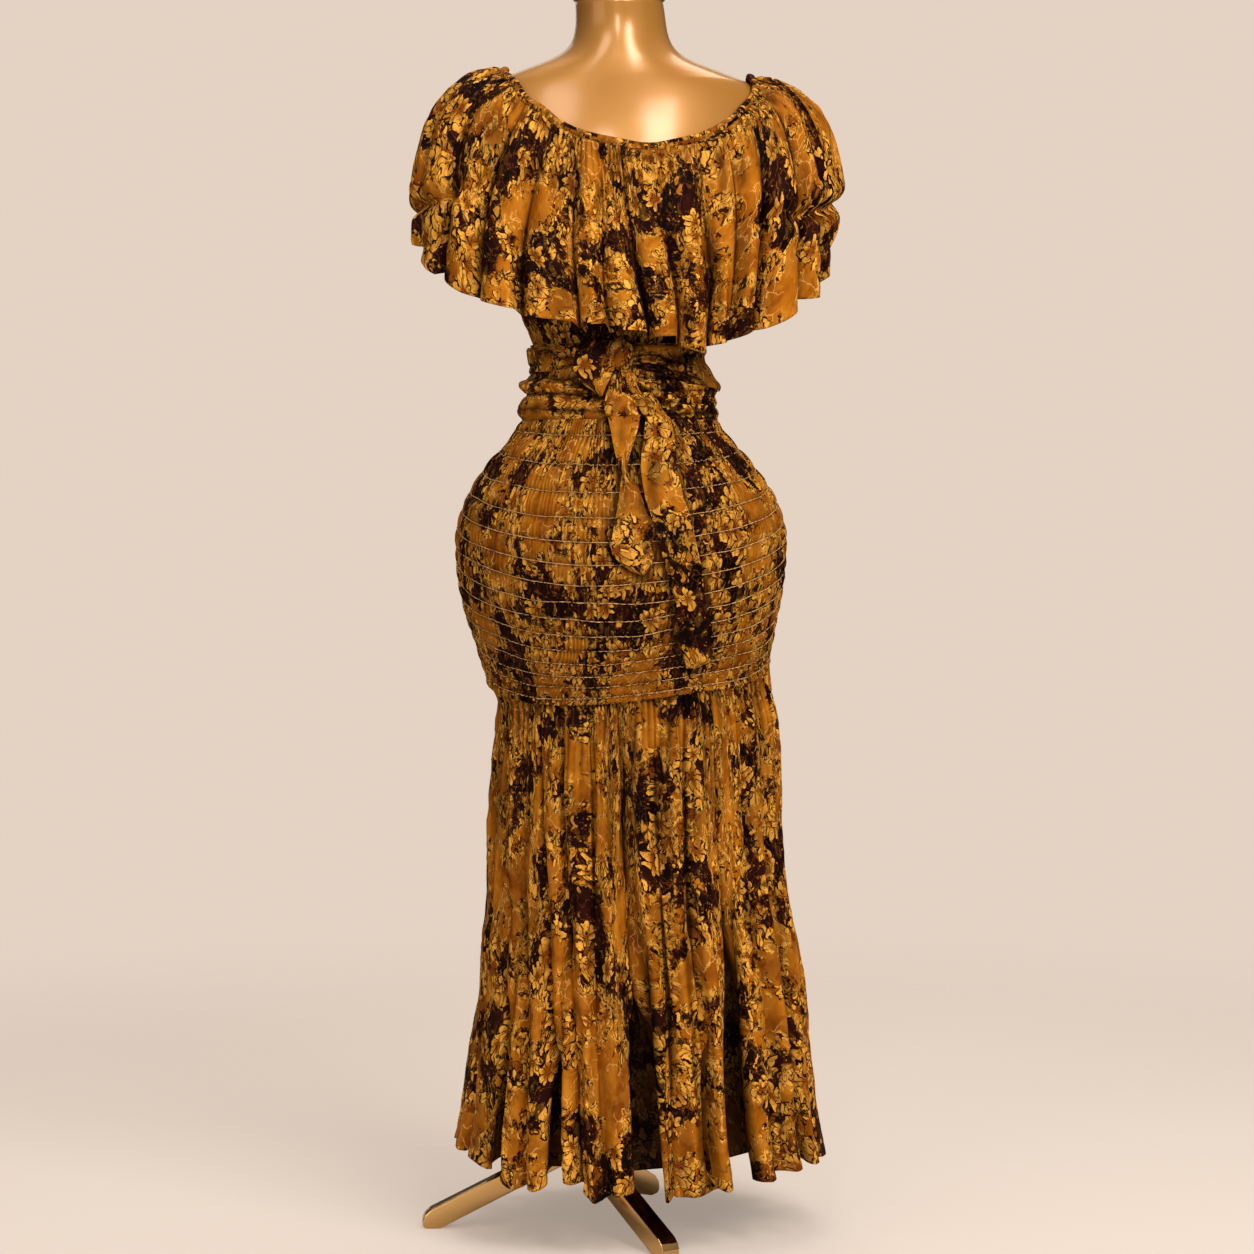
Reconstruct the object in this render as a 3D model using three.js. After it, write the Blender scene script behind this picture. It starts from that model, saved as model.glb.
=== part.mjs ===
import * as THREE from 'three';

// Off-shoulder maxi dress on a limbless dress form with a three-legged stand.
// Millimetres, z up. The back of the dress faces -y, the wearer's right side is +x.
// Angles go round the body: 0 at the back, 90 at the wearer's right, 180 at the front.
const cloth = 2;
const seamGap = 0.35;
const figureColumns = 28;
const figureBottom = 600;
const figureTop = 1471;
const capHeight = 15;
const capRadius = 55.5;
const casingLift = 5.6;
const casingThick = 8.2;
const casingHeight = 11;
const flounceLift = 8.6;
const waistTop = 1062.8;
const waistBottom = 974.2;
const threadRows = 15;
const threadDepth = 1.2;
const standX = -48;
const hubRadius = 21;
const hubTop = 104;
const hubBottom = 74;
const poleRadius = 12.5;
const legReach = 193;
const legWidth = 24;
const legTurns = [-86.5, 33.5, 153.5];

const dressColour = 0xb07a1e;
const formColour = 0xb8782a;
const standColour = 0xdcae58;

const lerp = THREE.MathUtils.lerp;
const clamp = THREE.MathUtils.clamp;
const rad = THREE.MathUtils.degToRad;
const smooth = (a, b, x) => THREE.MathUtils.smoothstep(x, a, b);

// smooth reading of a table whose first column goes up
function tableOf(names, rows) {
  const keys = names.split(' ');
  const rise = (i, c) => (rows[i + 1][c] - rows[i][c]) / (rows[i + 1][0] - rows[i][0]);
  const slope = (i, c) => {
    if (i === 0) return rise(0, c);
    if (i === rows.length - 1) return rise(i - 1, c);
    const before = rise(i - 1, c);
    const after = rise(i, c);
    return before * after <= 0 ? 0 : (2 * before * after) / (before + after);
  };
  const slopes = rows.map((row, i) => row.map((value, c) => slope(i, c)));
  return (at) => {
    let i = 0;
    while (i < rows.length - 2 && at > rows[i + 1][0]) i += 1;
    const span = rows[i + 1][0] - rows[i][0];
    const t = clamp((at - rows[i][0]) / span, 0, 1);
    const result = {};
    keys.forEach((key, c) => {
      const startShare = (1 + 2 * t) * (1 - t) * (1 - t);
      const endShare = t * t * (3 - 2 * t);
      const bend = t * (1 - t) * span;
      result[key] = rows[i][c] * startShare + rows[i + 1][c] * endShare;
      result[key] += bend * ((1 - t) * slopes[i][c] - t * slopes[i + 1][c]);
    });
    return result;
  };
}

// the same for a table that runs once round the body
function ringOf(names, rows) {
  const turned = (turn) => rows.map((row) => [row[0] + turn, ...row.slice(1)]);
  return tableOf(names, [...turned(-360), ...turned(0), ...turned(360)]);
}

// point of a section made of four quarter ellipses
function sectionPoint(row, angle, z) {
  const across = Math.sin(rad(angle));
  const along = Math.cos(rad(angle));
  const x = across * (across > 0 ? row.right : row.left);
  const y = -along * (along > 0 ? row.back : row.front);
  return new THREE.Vector3(x, y, z);
}

// normal of surface(u, v), where u goes round the body and v goes down
function outwardAt(surface, u, v, du, dv) {
  const across = surface(u + du, v).sub(surface(u - du, v));
  const down = surface(u, v + dv).sub(surface(u, v - dv));
  return down.cross(across).normalize();
}

function meshFrom(points, faces) {
  let volume = 0;
  for (const [a, b, c] of faces) {
    volume += points[a].dot(points[b].clone().cross(points[c]));
  }
  const positions = points.flatMap((point) => [point.x, point.y, point.z]);
  const index = faces.flatMap(([a, b, c]) => (volume > 0 ? [a, b, c] : [a, c, b]));
  const geometry = new THREE.BufferGeometry();
  geometry.setAttribute('position', new THREE.Float32BufferAttribute(positions, 3));
  geometry.setIndex(index);
  geometry.computeVertexNormals();
  return geometry;
}

// how far along its edge each point lies, from 0 to 1
function lengthShares(edge) {
  const shares = [0];
  for (let j = 1; j < edge.length; j += 1) {
    shares.push(shares[j - 1] + edge[j].distanceTo(edge[j - 1]));
  }
  return shares.map((length) => length / shares.at(-1));
}

// closed wall between an outer and an inner grid with the same columns;
// the inner grid may have fewer rows
function closedWall(outer, inner) {
  const points = [...outer.flat(), ...inner.flat()];
  const columns = outer.length;
  const outerRows = outer[0].length;
  const innerRows = inner[0].length;
  const onOuter = (i, j) => i * outerRows + j;
  const onInner = (i, j) => columns * outerRows + i * innerRows + j;
  const faces = [];
  const quad = (a, b, c, d) => faces.push([a, b, c], [a, c, d]);
  for (let i = 0; i < columns - 1; i += 1) {
    for (let j = 0; j < outerRows - 1; j += 1) {
      quad(onOuter(i, j), onOuter(i, j + 1), onOuter(i + 1, j + 1), onOuter(i + 1, j));
    }
    for (let j = 0; j < innerRows - 1; j += 1) {
      quad(onInner(i, j), onInner(i + 1, j), onInner(i + 1, j + 1), onInner(i, j + 1));
    }
    quad(onOuter(i, 0), onOuter(i + 1, 0), onInner(i + 1, 0), onInner(i, 0));
    const last = outerRows - 1;
    const end = innerRows - 1;
    quad(onOuter(i, last), onInner(i, end), onInner(i + 1, end), onOuter(i + 1, last));
  }
  for (const i of [0, columns - 1]) {
    const outerShares = lengthShares(outer[i]);
    const innerShares = lengthShares(inner[i]);
    let j = 0;
    let k = 0;
    while (j < outerRows - 1 || k < innerRows - 1) {
      const face = [onOuter(i, j), onInner(i, k)];
      const outerIsNext = outerShares[j + 1] <= innerShares[k + 1];
      if (k === innerRows - 1 || (j < outerRows - 1 && outerIsNext)) {
        j += 1;
        face.push(onOuter(i, j));
      } else {
        k += 1;
        face.push(onInner(i, k));
      }
      faces.push(i === 0 ? face : [face[1], face[0], face[2]]);
    }
  }
  return meshFrom(points, faces);
}

// closed body over rings of points; both ends get a flat fan
function closedBody(rings) {
  const count = rings[0].length;
  const middle = (ring) => {
    const sum = new THREE.Vector3();
    ring.forEach((point) => sum.add(point));
    return sum.divideScalar(count);
  };
  const points = [...rings.flat(), middle(rings[0]), middle(rings.at(-1))];
  const first = points.length - 2;
  const last = points.length - 1;
  const faces = [];
  for (let i = 0; i < count; i += 1) {
    const next = (i + 1) % count;
    for (let j = 0; j < rings.length - 1; j += 1) {
      const here = j * count;
      const above = here + count;
      faces.push([here + i, here + next, above + next], [here + i, above + next, above + i]);
    }
    const top = (rings.length - 1) * count;
    faces.push([first, next, i], [last, top + i, top + next]);
  }
  return meshFrom(points, faces);
}

// closed tube whose last ring joins the first one again
function closedLoop(rings) {
  const count = rings[0].length;
  const faces = [];
  rings.forEach((ring, j) => {
    const here = j * count;
    const after = ((j + 1) % rings.length) * count;
    for (let i = 0; i < count; i += 1) {
      const next = (i + 1) % count;
      faces.push([here + i, here + next, after + next], [here + i, after + next, after + i]);
    }
  });
  return meshFrom(rings.flat(), faces);
}

// wall of even thickness on the inside of surface(u, v), trimmed at its side edges
function panelOn(surface, us, vs, du, dv, trim = seamGap / 2, thick = cloth) {
  const outer = us.map((u) => vs.map((v) => surface(u, v)));
  const inner = us.map((u, i) => vs.map((v, j) => {
    const out = outwardAt(surface, u, v, du, dv);
    return outer[i][j].clone().addScaledVector(out, -thick);
  }));
  trimSides(outer, trim);
  trimSides(inner, trim);
  return closedWall(outer, inner);
}

function trimSides(grid, trim) {
  const pull = (edge, next) => edge.forEach((point, j) => {
    point.addScaledVector(next[j].clone().sub(point).normalize(), trim);
  });
  pull(grid[0], grid[1]);
  pull(grid.at(-1), grid.at(-2));
}

const steps = (from, to, count) => {
  return Array.from({ length: count + 1 }, (none, i) => lerp(from, to, i / count));
};

// the smooth form: half width, depth behind and in front of the axis, sideways shift
const figure = tableOf('z half back front shift', [
  [600, 122, 108, 104, 0],
  [640, 136, 116, 109, 0],
  [662, 148, 122, 112, 0],
  [686, 160, 130, 115, 0],
  [710, 168, 139, 118, 0],
  [734, 177, 148, 121, 0],
  [758, 184, 156, 124, 0],
  [782, 188, 163, 125, 0],
  [806, 190.5, 167, 127, 0],
  [830, 191.5, 167, 128, 0],
  [854, 188, 163, 128, 0],
  [878, 179.5, 155, 126, 0],
  [902, 166, 144, 123, 0],
  [926, 147, 129, 118, 0],
  [950, 126, 114, 111, 0],
  [965, 113, 104, 105, 0],
  [984, 104, 94, 99, 0],
  [1010, 99, 84, 94, -1],
  [1031, 95, 79, 89, -2],
  [1050, 91, 78, 88, -3],
  [1070, 97, 80, 92, -3],
  [1090, 108, 86, 100, -1],
  [1120, 121, 90, 112, 0],
  [1150, 134, 98, 126, 0],
  [1190, 148, 104, 138, 0],
  [1230, 162, 106, 132, 0],
  [1270, 171, 101, 113, 0],
  [1310, 176, 92, 94, 0],
  [1345, 172, 80, 76, 0],
  [1365, 163, 72, 68, 0],
  [1380, 147, 66, 63, -1],
  [1388, 118, 63, 62, -4],
  [1395, 97, 61.5, 62, -3],
  [1402, 80, 60, 62, -1],
  [1408, 69.5, 58, 61.5, 0],
  [1416, 61.5, 56, 60.5, 0],
  [1428, 56.5, 53, 58, 0],
  [1440, 54.2, 50, 56, 0],
  [1471, 52.3, 50, 54, -2.3],
]);
const figureRows = [
  600, 640, 686, 734, 782, 830, 878, 926, 950, 984, 1031, 1070, 1110, 1150, 1190, 1230,
  1270, 1310, 1345, 1365, 1380, 1388, 1395, 1402, 1408, 1416, 1428, 1440, 1471,
];

function figurePoint(angle, z) {
  const row = figure(z);
  const across = Math.sin(rad(angle));
  const along = Math.cos(rad(angle));
  const y = -along * (along > 0 ? row.back : row.front);
  return new THREE.Vector3(row.shift + row.half * across, y, z);
}

// top edge of the dress on the form
const neckline = ringOf('angle z', [
  [-90, 1384], [-76, 1383], [-62, 1377], [-49, 1366], [-40, 1347], [-31, 1332], [-24, 1316],
  [-12, 1300], [-2, 1293], [10, 1288], [23, 1294], [32, 1302], [46, 1322], [56, 1340],
  [67, 1356], [80, 1374], [90, 1377], [100, 1375.5], [113, 1360], [124, 1341], [136, 1316],
  [150, 1290], [165, 1276], [180, 1271], [196, 1278], [210, 1296], [222, 1324], [233, 1351],
  [245, 1372], [258, 1382.5],
]);

function neckFrame(angle) {
  const at = (turn) => figurePoint(turn, neckline(turn).z);
  const out = outwardAt(figurePoint, angle, neckline(angle).z, 1, -1);
  const along = at(angle + 1).sub(at(angle - 1)).normalize();
  out.addScaledVector(along, -out.dot(along)).normalize();
  return { point: at(angle), out, down: along.clone().cross(out) };
}

// outside of the waist and hip cloth
const bodyCloth = tableOf('z left right back front', [
  [640, 150, 166, 124, 116],
  [662, 157.5, 170, 130, 118.5],
  [686, 168, 175.5, 137, 121.5],
  [710, 175, 182, 146, 125],
  [734, 184, 186, 155, 128],
  [758, 190, 191, 163, 131],
  [782, 194.6, 194.6, 170, 132],
  [806, 197, 197, 174, 134],
  [830, 198, 198, 174, 135],
  [854, 194.5, 194.5, 170, 135],
  [878, 186, 186, 162, 133],
  [902, 173, 172, 151, 130],
  [926, 156, 153, 136, 125],
  [950, 133, 132, 121, 118],
  [965, 124.5, 120, 112, 112.5],
  [974, 118.5, 116, 106, 109],
  [984, 124, 113.5, 105, 110],
  [993, 115, 114, 98, 106],
  [1001, 112.5, 110.5, 94, 104],
  [1012, 120, 115, 97, 107],
  [1022, 109, 108, 92, 101],
  [1031, 104.5, 104, 90, 98],
  [1040, 105, 98, 89, 97],
  [1050, 107, 96.5, 89, 97],
  [1063, 108.5, 101, 90, 100],
]);

function bodyPoint(angle, z) {
  return sectionPoint(bodyCloth(z), angle, z);
}

// the waist rolls wander up and down a little round the body
function waistPoint(angle, z) {
  const free = smooth(waistBottom, 984, z) * (1 - smooth(1018, 1030, z));
  const wander = 3.2 * Math.sin(rad(2 * angle + 40)) + 2 * Math.sin(rad(5 * angle));
  const row = bodyCloth(z + free * wander);
  return sectionPoint(row, angle, z);
}

// lower edge of the hip panels, which is the upper edge of the skirt
const hipEdge = ringOf('angle z', [
  [-90, 660], [-75, 654], [-52, 645], [-38, 641], [-14, 643], [3, 647], [20, 653],
  [35, 658], [56, 662], [75, 672], [90, 684], [120, 672], [150, 660], [180, 655],
  [210, 652], [240, 655],
]);

// the same edge, straight from column to column of the hip panels
function hipEdgeLine(angle) {
  const column = 360 / figureColumns;
  const before = column * Math.floor((angle + 90) / column) - 90;
  const share = (angle - before) / column;
  return lerp(hipEdge(before).z, hipEdge(before + column).z, share);
}

function hipHeight(angle, t) {
  const eased = t + 0.18 * t * (1 - t);
  const behind = Math.max(0, Math.cos(rad(angle)));
  const sag = 17 * Math.sin(Math.PI * t) * behind * behind;
  return lerp(waistBottom - seamGap, hipEdge(angle).z, eased) - sag;
}

function hipPoint(angle, t) {
  return bodyPoint(angle, hipHeight(angle, t));
}

const skirtCloth = tableOf('z left right back front', [
  [40, 199, 244, 186, 199],
  [97, 194, 238, 181, 194],
  [127, 189, 232, 178, 190],
  [176, 182, 226, 173, 184],
  [225, 176, 221, 168, 178],
  [298, 165, 214, 162, 168],
  [347, 163, 207, 156, 160],
  [396, 158, 198, 150, 152],
  [468, 157, 190, 142, 142],
  [517, 155, 188, 138, 136],
  [565, 151, 187, 134, 130],
  [614, 147, 184, 128, 122],
  [636, 145, 180, 124, 117],
  [650, 151, 177, 125.5, 116.5],
  [660, 155.5, 176, 128, 117.5],
  [684, 166, 174.5, 136, 120.5],
]);

const skirtHem = ringOf('angle z', [
  [-90, 97], [-60, 90], [-46, 92], [-36, 80], [-22, 88], [-10, 74], [5, 92], [16, 74],
  [27, 78], [37, 92], [50, 84], [65, 80], [90, 82], [120, 72], [150, 60], [180, 56],
  [210, 61], [240, 78],
]);

// skirt folds: valley angle at the top and at the hem, depth at the top, half-way, at the hem
const skirtFolds = [
  { top: -90, hem: -90, depths: [1.6, 4, 7] },
  { top: -78, hem: -66, depths: [1.6, 5, 7] },
  { top: -66, hem: -46.5, depths: [1.8, 8, 15] },
  { top: -52, hem: -35, depths: [1.8, 5, 8] },
  { top: -41, hem: -22, depths: [1.8, 8, 14] },
  { top: -29, hem: -14, depths: [1.8, 7, 4] },
  { top: -15, hem: -6, depths: [1.8, 5, 4] },
  { top: -2, hem: 4.8, depths: [1.8, 11, 23] },
  { top: 12, hem: 15, depths: [1.8, 6, 5] },
  { top: 24, hem: 27, depths: [1.8, 5, 6] },
  { top: 36, hem: 37.5, depths: [1.8, 11, 23] },
  { top: 50, hem: 52, depths: [1.8, 5, 7] },
  { top: 64, hem: 66, depths: [1.8, 6, 9] },
  { top: 77, hem: 78, depths: [1.6, 5, 7] },
  { top: 90, hem: 90, depths: [1.6, 4, 8] },
  { top: 103, hem: 102, depths: [1.8, 7, 13] },
  { top: 116, hem: 114, depths: [1.8, 5, 9] },
  { top: 128, hem: 128, depths: [1.8, 9, 17] },
  { top: 140, hem: 141, depths: [1.8, 5, 8] },
  { top: 152, hem: 154, depths: [1.8, 8, 15] },
  { top: 164, hem: 167, depths: [1.8, 6, 9] },
  { top: 176, hem: 178, depths: [1.8, 10, 20] },
  { top: 188, hem: 189, depths: [1.8, 5, 7] },
  { top: 200, hem: 201, depths: [1.8, 8, 15] },
  { top: 213, hem: 215, depths: [1.8, 5, 9] },
  { top: 227, hem: 229, depths: [1.8, 9, 17] },
  { top: 241, hem: 243, depths: [1.8, 5, 8] },
  { top: 255, hem: 256, depths: [1.6, 6, 11] },
];

// flounce folds in the same way
const flounceFolds = [
  { top: -90, hem: -88, depths: [1.2, 4, 7] },
  { top: -73, hem: -77, depths: [1.2, 5, 9] },
  { top: -56, hem: -61, depths: [1.2, 5, 8] },
  { top: -38, hem: -43.5, depths: [1.2, 8, 14] },
  { top: -26, hem: -29, depths: [1.2, 4, 7] },
  { top: -15, hem: -12.5, depths: [1.2, 4, 10] },
  { top: -7, hem: -3, depths: [1.2, 3, 5] },
  { top: 1, hem: 7, depths: [1.2, 4, 11] },
  { top: 14, hem: 15.5, depths: [1.2, 4, 9] },
  { top: 26.5, hem: 26, depths: [1.2, 4, 10] },
  { top: 40, hem: 32, depths: [1.2, 4, 5] },
  { top: 54, hem: 40, depths: [1.2, 7, 12] },
  { top: 66, hem: 61, depths: [1.2, 7, 11] },
  { top: 78, hem: 76, depths: [1.2, 5, 7] },
  { top: 90, hem: 90, depths: [1.2, 4, 6] },
  { top: 104, hem: 105, depths: [1.2, 5, 7] },
  { top: 118, hem: 120, depths: [1.2, 6, 11] },
  { top: 131, hem: 134, depths: [1.2, 5, 9] },
  { top: 143, hem: 146, depths: [1.2, 5, 12] },
  { top: 154, hem: 156, depths: [1.2, 3, 7] },
  { top: 164, hem: 166, depths: [1.2, 4, 12] },
  { top: 174, hem: 176, depths: [1.2, 3, 6] },
  { top: 184, hem: 186, depths: [1.2, 4, 12] },
  { top: 195, hem: 196, depths: [1.2, 3, 8] },
  { top: 206, hem: 208, depths: [1.2, 5, 12] },
  { top: 219, hem: 222, depths: [1.2, 5, 8] },
  { top: 233, hem: 237, depths: [1.2, 6, 11] },
  { top: 252, hem: 254, depths: [1.2, 5, 8] },
];

// four columns of a wall lie on each fold; this gives a column's angle and its rise
function foldAt(folds, column, t) {
  const count = folds.length;
  const number = Math.floor(column / 4);
  const share = column / 4 - number;
  const valley = (i) => {
    const turns = Math.floor(i / count);
    const fold = folds[i - turns * count];
    const [upper, middle, lower] = fold.depths;
    const halfWay = 2 * t;
    const depth = t < 0.5 ? lerp(upper, middle, halfWay) : lerp(middle, lower, halfWay - 1);
    return { angle: lerp(fold.top, fold.hem, t) + 360 * turns, depth };
  };
  const before = valley(number);
  const after = valley(number + 1);
  const depth = lerp(before.depth, after.depth, share);
  const angle = lerp(before.angle, after.angle, share);
  const wave = -Math.cos(2 * Math.PI * share);
  return { angle, wave, rise: depth * wave };
}

function skirtPoint(column, t) {
  const fold = foldAt(skirtFolds, column, t);
  const upper = hipEdgeLine(fold.angle) - 2 * seamGap;
  const lower = skirtHem(fold.angle).z - 0.5 * fold.rise;
  const z = lerp(upper, lower, t);
  const point = sectionPoint(skirtCloth(z), fold.angle, z);
  const out = new THREE.Vector3(Math.sin(rad(fold.angle)), -Math.cos(rad(fold.angle)), 0);
  const deepOnly = fold.rise - 0.5 * Math.max(0, Math.abs(fold.rise) - 9);
  return point.addScaledVector(out, deepOnly - 0.6 * t);
}

const flounceHem = ringOf('angle z reach depth', [
  [-104, 1238, 255, 168],
  [-93, 1182, 249, 160],
  [-86, 1164, 250, 152],
  [-65, 1132, 246, 146],
  [-47, 1110, 244, 144],
  [-25, 1090, 244, 142],
  [0, 1072, 244, 141],
  [22, 1058, 244, 142],
  [40, 1078, 244, 144],
  [62, 1118, 243, 146],
  [86, 1146, 241, 152],
  [93, 1182, 249, 160],
  [103, 1232, 262, 168],
  [122, 1186, 258, 176],
  [140, 1132, 250, 181],
  [150, 1104, 248, 182],
  [165, 1076, 246, 184],
  [180, 1066, 246, 184],
  [195, 1078, 246, 184],
  [210, 1114, 247, 182],
  [222, 1152, 249, 180],
  [237, 1192, 252, 176],
]);

function flounceBase(angle, t) {
  const neck = neckFrame(angle);
  const drop = casingHeight / 2 + 2 * seamGap;
  const start = neck.point.addScaledVector(neck.out, flounceLift);
  start.addScaledVector(neck.down, drop);
  const hem = flounceHem(angle);
  const across = Math.sin(rad(angle));
  const along = Math.cos(rad(angle));
  const end = new THREE.Vector3(hem.reach * across, -hem.depth * along, hem.z);
  const side = across * across;
  const between = (level, fall) => new THREE.Vector3(
    lerp(start.x, end.x, level),
    lerp(start.y, end.y, level),
    lerp(start.z, end.z, fall),
  );
  const chest = along > 0 ? 0.5 : 0.85;
  const first = between(lerp(chest, 0.85, side), lerp(0.33, 0, side));
  const second = between(lerp(0.9, 1.22, side), lerp(0.66, 0.5, side));
  const rest = 1 - t;
  return start.multiplyScalar(rest * rest * rest)
    .addScaledVector(first, 3 * rest * rest * t)
    .addScaledVector(second, 3 * rest * t * t)
    .addScaledVector(end, t * t * t);
}

function flouncePoint(column, t) {
  const fold = foldAt(flounceFolds, column, t);
  const out = outwardAt(flounceBase, fold.angle, t, 2, 0.03);
  return flounceBase(fold.angle, t).addScaledVector(out, fold.rise);
}

// the bodice lies close to the form; its side edges leave the armholes free
const bodiceWidth = tableOf('t half', [
  [0, 60], [0.25, 57], [0.42, 63], [0.52, 80], [0.58, 90], [1, 90],
]);
const bodiceLift = tableOf('z lift', [
  [1063, 7.5], [1100, 6.5], [1190, 8], [1240, 6], [1340, 4.5],
]);

function bodicePoint(share, t, middle) {
  const angle = middle + share * bodiceWidth(t).half;
  const topAngle = middle + share * bodiceWidth(0).half;
  const neck = neckFrame(topAngle);
  const start = neck.point.addScaledVector(neck.down, casingHeight / 2 + 3.5);
  const z = lerp(start.z, waistTop + seamGap, t);
  const point = figurePoint(angle, z);
  const out = outwardAt(figurePoint, angle, z, 1, -1);
  const flat = new THREE.Vector3(out.x, out.y, 0).normalize();
  return point.addScaledVector(flat, bodiceLift(z).lift);
}

const tieEdges = tableOf('away upper lower', [
  [0, 1062, 1045], [20, 1061, 1040], [50, 1060, 1030], [87, 1060, 1026],
]);

function tiePoint(angle, t) {
  const edges = tieEdges(Math.abs(angle));
  const z = lerp(edges.upper, edges.lower, t);
  const out = outwardAt(bodyPoint, angle, z, 1, -1);
  const crease = 0.7 * Math.abs(Math.sin(1.5 * Math.PI * t));
  return bodyPoint(angle, z).addScaledVector(out, 3 + crease);
}

// the loop of the bow: down in front, round at the bottom and up again behind
const loopPath = tableOf('s z y x half', [
  [0, 1064, -102.5, -26, 9],
  [0.15, 1050, -106, -27.3, 10.5],
  [0.3, 1032, -108.5, -32, 22],
  [0.42, 1012, -109, -30, 16],
  [0.48, 1002, -107.5, -26, 9],
  [0.52, 999, -104.5, -25.5, 8],
  [0.57, 1003, -101.8, -26, 10],
  [0.68, 1018, -101, -32, 18],
  [0.85, 1040, -98, -31, 14],
  [1, 1060, -96.5, -28, 9],
]);

function loopPoint(across, s) {
  const row = loopPath(s);
  const bow = 1.6 * (1 - across * across);
  const y = row.y + (s < 0.5 ? -bow : 0.6 * bow);
  return new THREE.Vector3(row.x + across * row.half, y, row.z);
}

// the hanging ends of the tie: middle and half width at each height, distance off the cloth
const tailLeft = tableOf('drop x half lift turn', [
  [-1036, 1, 8, 16.4, 0],
  [-1018, 1, 9, 13, 0],
  [-996, 2, 15, 15.5, 8],
  [-961, 3.5, 17, 8.6, 10],
  [-932, 4.5, 11, 6.8, 22],
  [-905, 3, 7, 5.6, 35],
  [-880, 6, 14, 4.8, 12],
  [-856, 8.5, 18, 4.4, 0],
  [-826, 11, 21, 4, 0],
  [-803, 15, 18, 4, 0],
  [-790, 21, 7, 4, 0],
]);
const tailRight = tableOf('drop x half lift turn', [
  [-1034, 6, 8, 12.6, 0],
  [-1019, 9, 11, 10, 0],
  [-996, 15, 14, 11.5, 0],
  [-973, 23, 16, 6.6, 0],
  [-950, 31, 17, 4.4, -4],
  [-926, 39, 17, 3.6, 0],
  [-880, 56, 17, 3.2, 4],
  [-823, 68, 16, 3.2, 0],
  [-766, 78, 15.5, 3.2, -3],
  [-720, 84, 18, 3.2, 0],
  [-687, 89, 11, 3.2, 0],
]);

function tailPoint(path, across, drop) {
  const row = path(drop);
  const turn = rad(row.turn);
  const x = row.x + across * row.half * Math.cos(turn);
  const z = -drop;
  const half = bodyCloth(z).right;
  const angle = THREE.MathUtils.radToDeg(Math.asin(x / half));
  const out = outwardAt(bodyPoint, angle, z, 1, -1);
  const lift = row.lift + (across + 1) * row.half * Math.sin(Math.abs(turn)) * 0.35;
  return bodyPoint(angle, z).addScaledVector(out, lift);
}

const dress = new THREE.MeshStandardMaterial({
  color: dressColour, roughness: 0.85, metalness: 0, name: 'printed_cloth',
});
const formSkin = new THREE.MeshStandardMaterial({
  color: formColour, roughness: 0.32, metalness: 0.3, name: 'satin_gold_form',
});
const standMetal = new THREE.MeshStandardMaterial({
  color: standColour, roughness: 0.2, metalness: 1, name: 'polished_stand',
});

const group = new THREE.Group();
function addPiece(name, geometry, material) {
  const mesh = new THREE.Mesh(geometry, material);
  mesh.name = name;
  group.add(mesh);
  return mesh;
}

// dress
const casingSections = [];
for (let i = 0; i < 66; i += 1) {
  const even = 360 * i / 66 - 90;
  const neck = neckFrame(even + 12 * Math.sin(rad(2 * even)));
  const pucker = i % 2 ? 0.86 : 1;
  const centre = neck.point.addScaledVector(neck.out, casingLift);
  casingSections.push(steps(30, 330, 5).map((turn) => centre.clone()
    .addScaledVector(neck.out, pucker * casingThick / 2 * Math.cos(rad(turn)))
    .addScaledVector(neck.down, casingHeight / 2 * Math.sin(rad(turn)))));
}
addPiece('neck_casing', closedLoop(casingSections), dress);

const flounceSteps = [0, 0.12, 0.27, 0.45, 0.64, 0.83, 1];
const backFlounce = steps(0, 56, 56);
const frontFlounce = steps(56, 112, 56);
addPiece('flounce_back', panelOn(flouncePoint, backFlounce, flounceSteps, 0.5, 0.04), dress);
addPiece('flounce_front', panelOn(flouncePoint, frontFlounce, flounceSteps, 0.5, 0.04), dress);

const bodiceSteps = [0, 0.13, 0.26, 0.38, 0.46, 0.52, 0.58, 0.72, 0.86, 1];
const bodiceShares = steps(-1, 1, 14);
const onBack = (share, t) => bodicePoint(share, t, 0);
const onFront = (share, t) => bodicePoint(share, t, 180);
addPiece('bodice_back', panelOn(onBack, bodiceShares, bodiceSteps, 0.02, 0.02), dress);
addPiece('bodice_front', panelOn(onFront, bodiceShares, bodiceSteps, 0.02, 0.02), dress);

const backAngles = steps(-90, 90, figureColumns / 2);
const frontAngles = steps(90, 270, figureColumns / 2);
const waistHeights = [waistTop, 1050, 1038, 1027, 1020, 1012, 1003, 995, 984, waistBottom];
const plainHeights = [waistTop, 1045, 1027, 1012, 995, 984, waistBottom];
function waistPanel(angles) {
  const outer = angles.map((angle) => waistHeights.map((z) => waistPoint(angle, z)));
  const inner = angles.map((angle) => plainHeights.map((z, j) => {
    const around = j % (plainHeights.length - 1) ? [-7, -3.5, 0, 3.5, 7] : [0];
    const reaches = around.map((step) => waistPoint(angle, z + step).setZ(0).length());
    return waistPoint(angle, z).setZ(0).setLength(Math.min(...reaches) - cloth).setZ(z);
  }));
  trimSides(outer, seamGap / 2);
  trimSides(inner, seamGap / 2);
  return closedWall(outer, inner);
}
addPiece('waist_back', waistPanel(backAngles), dress);
addPiece('waist_front', waistPanel(frontAngles), dress);

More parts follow.
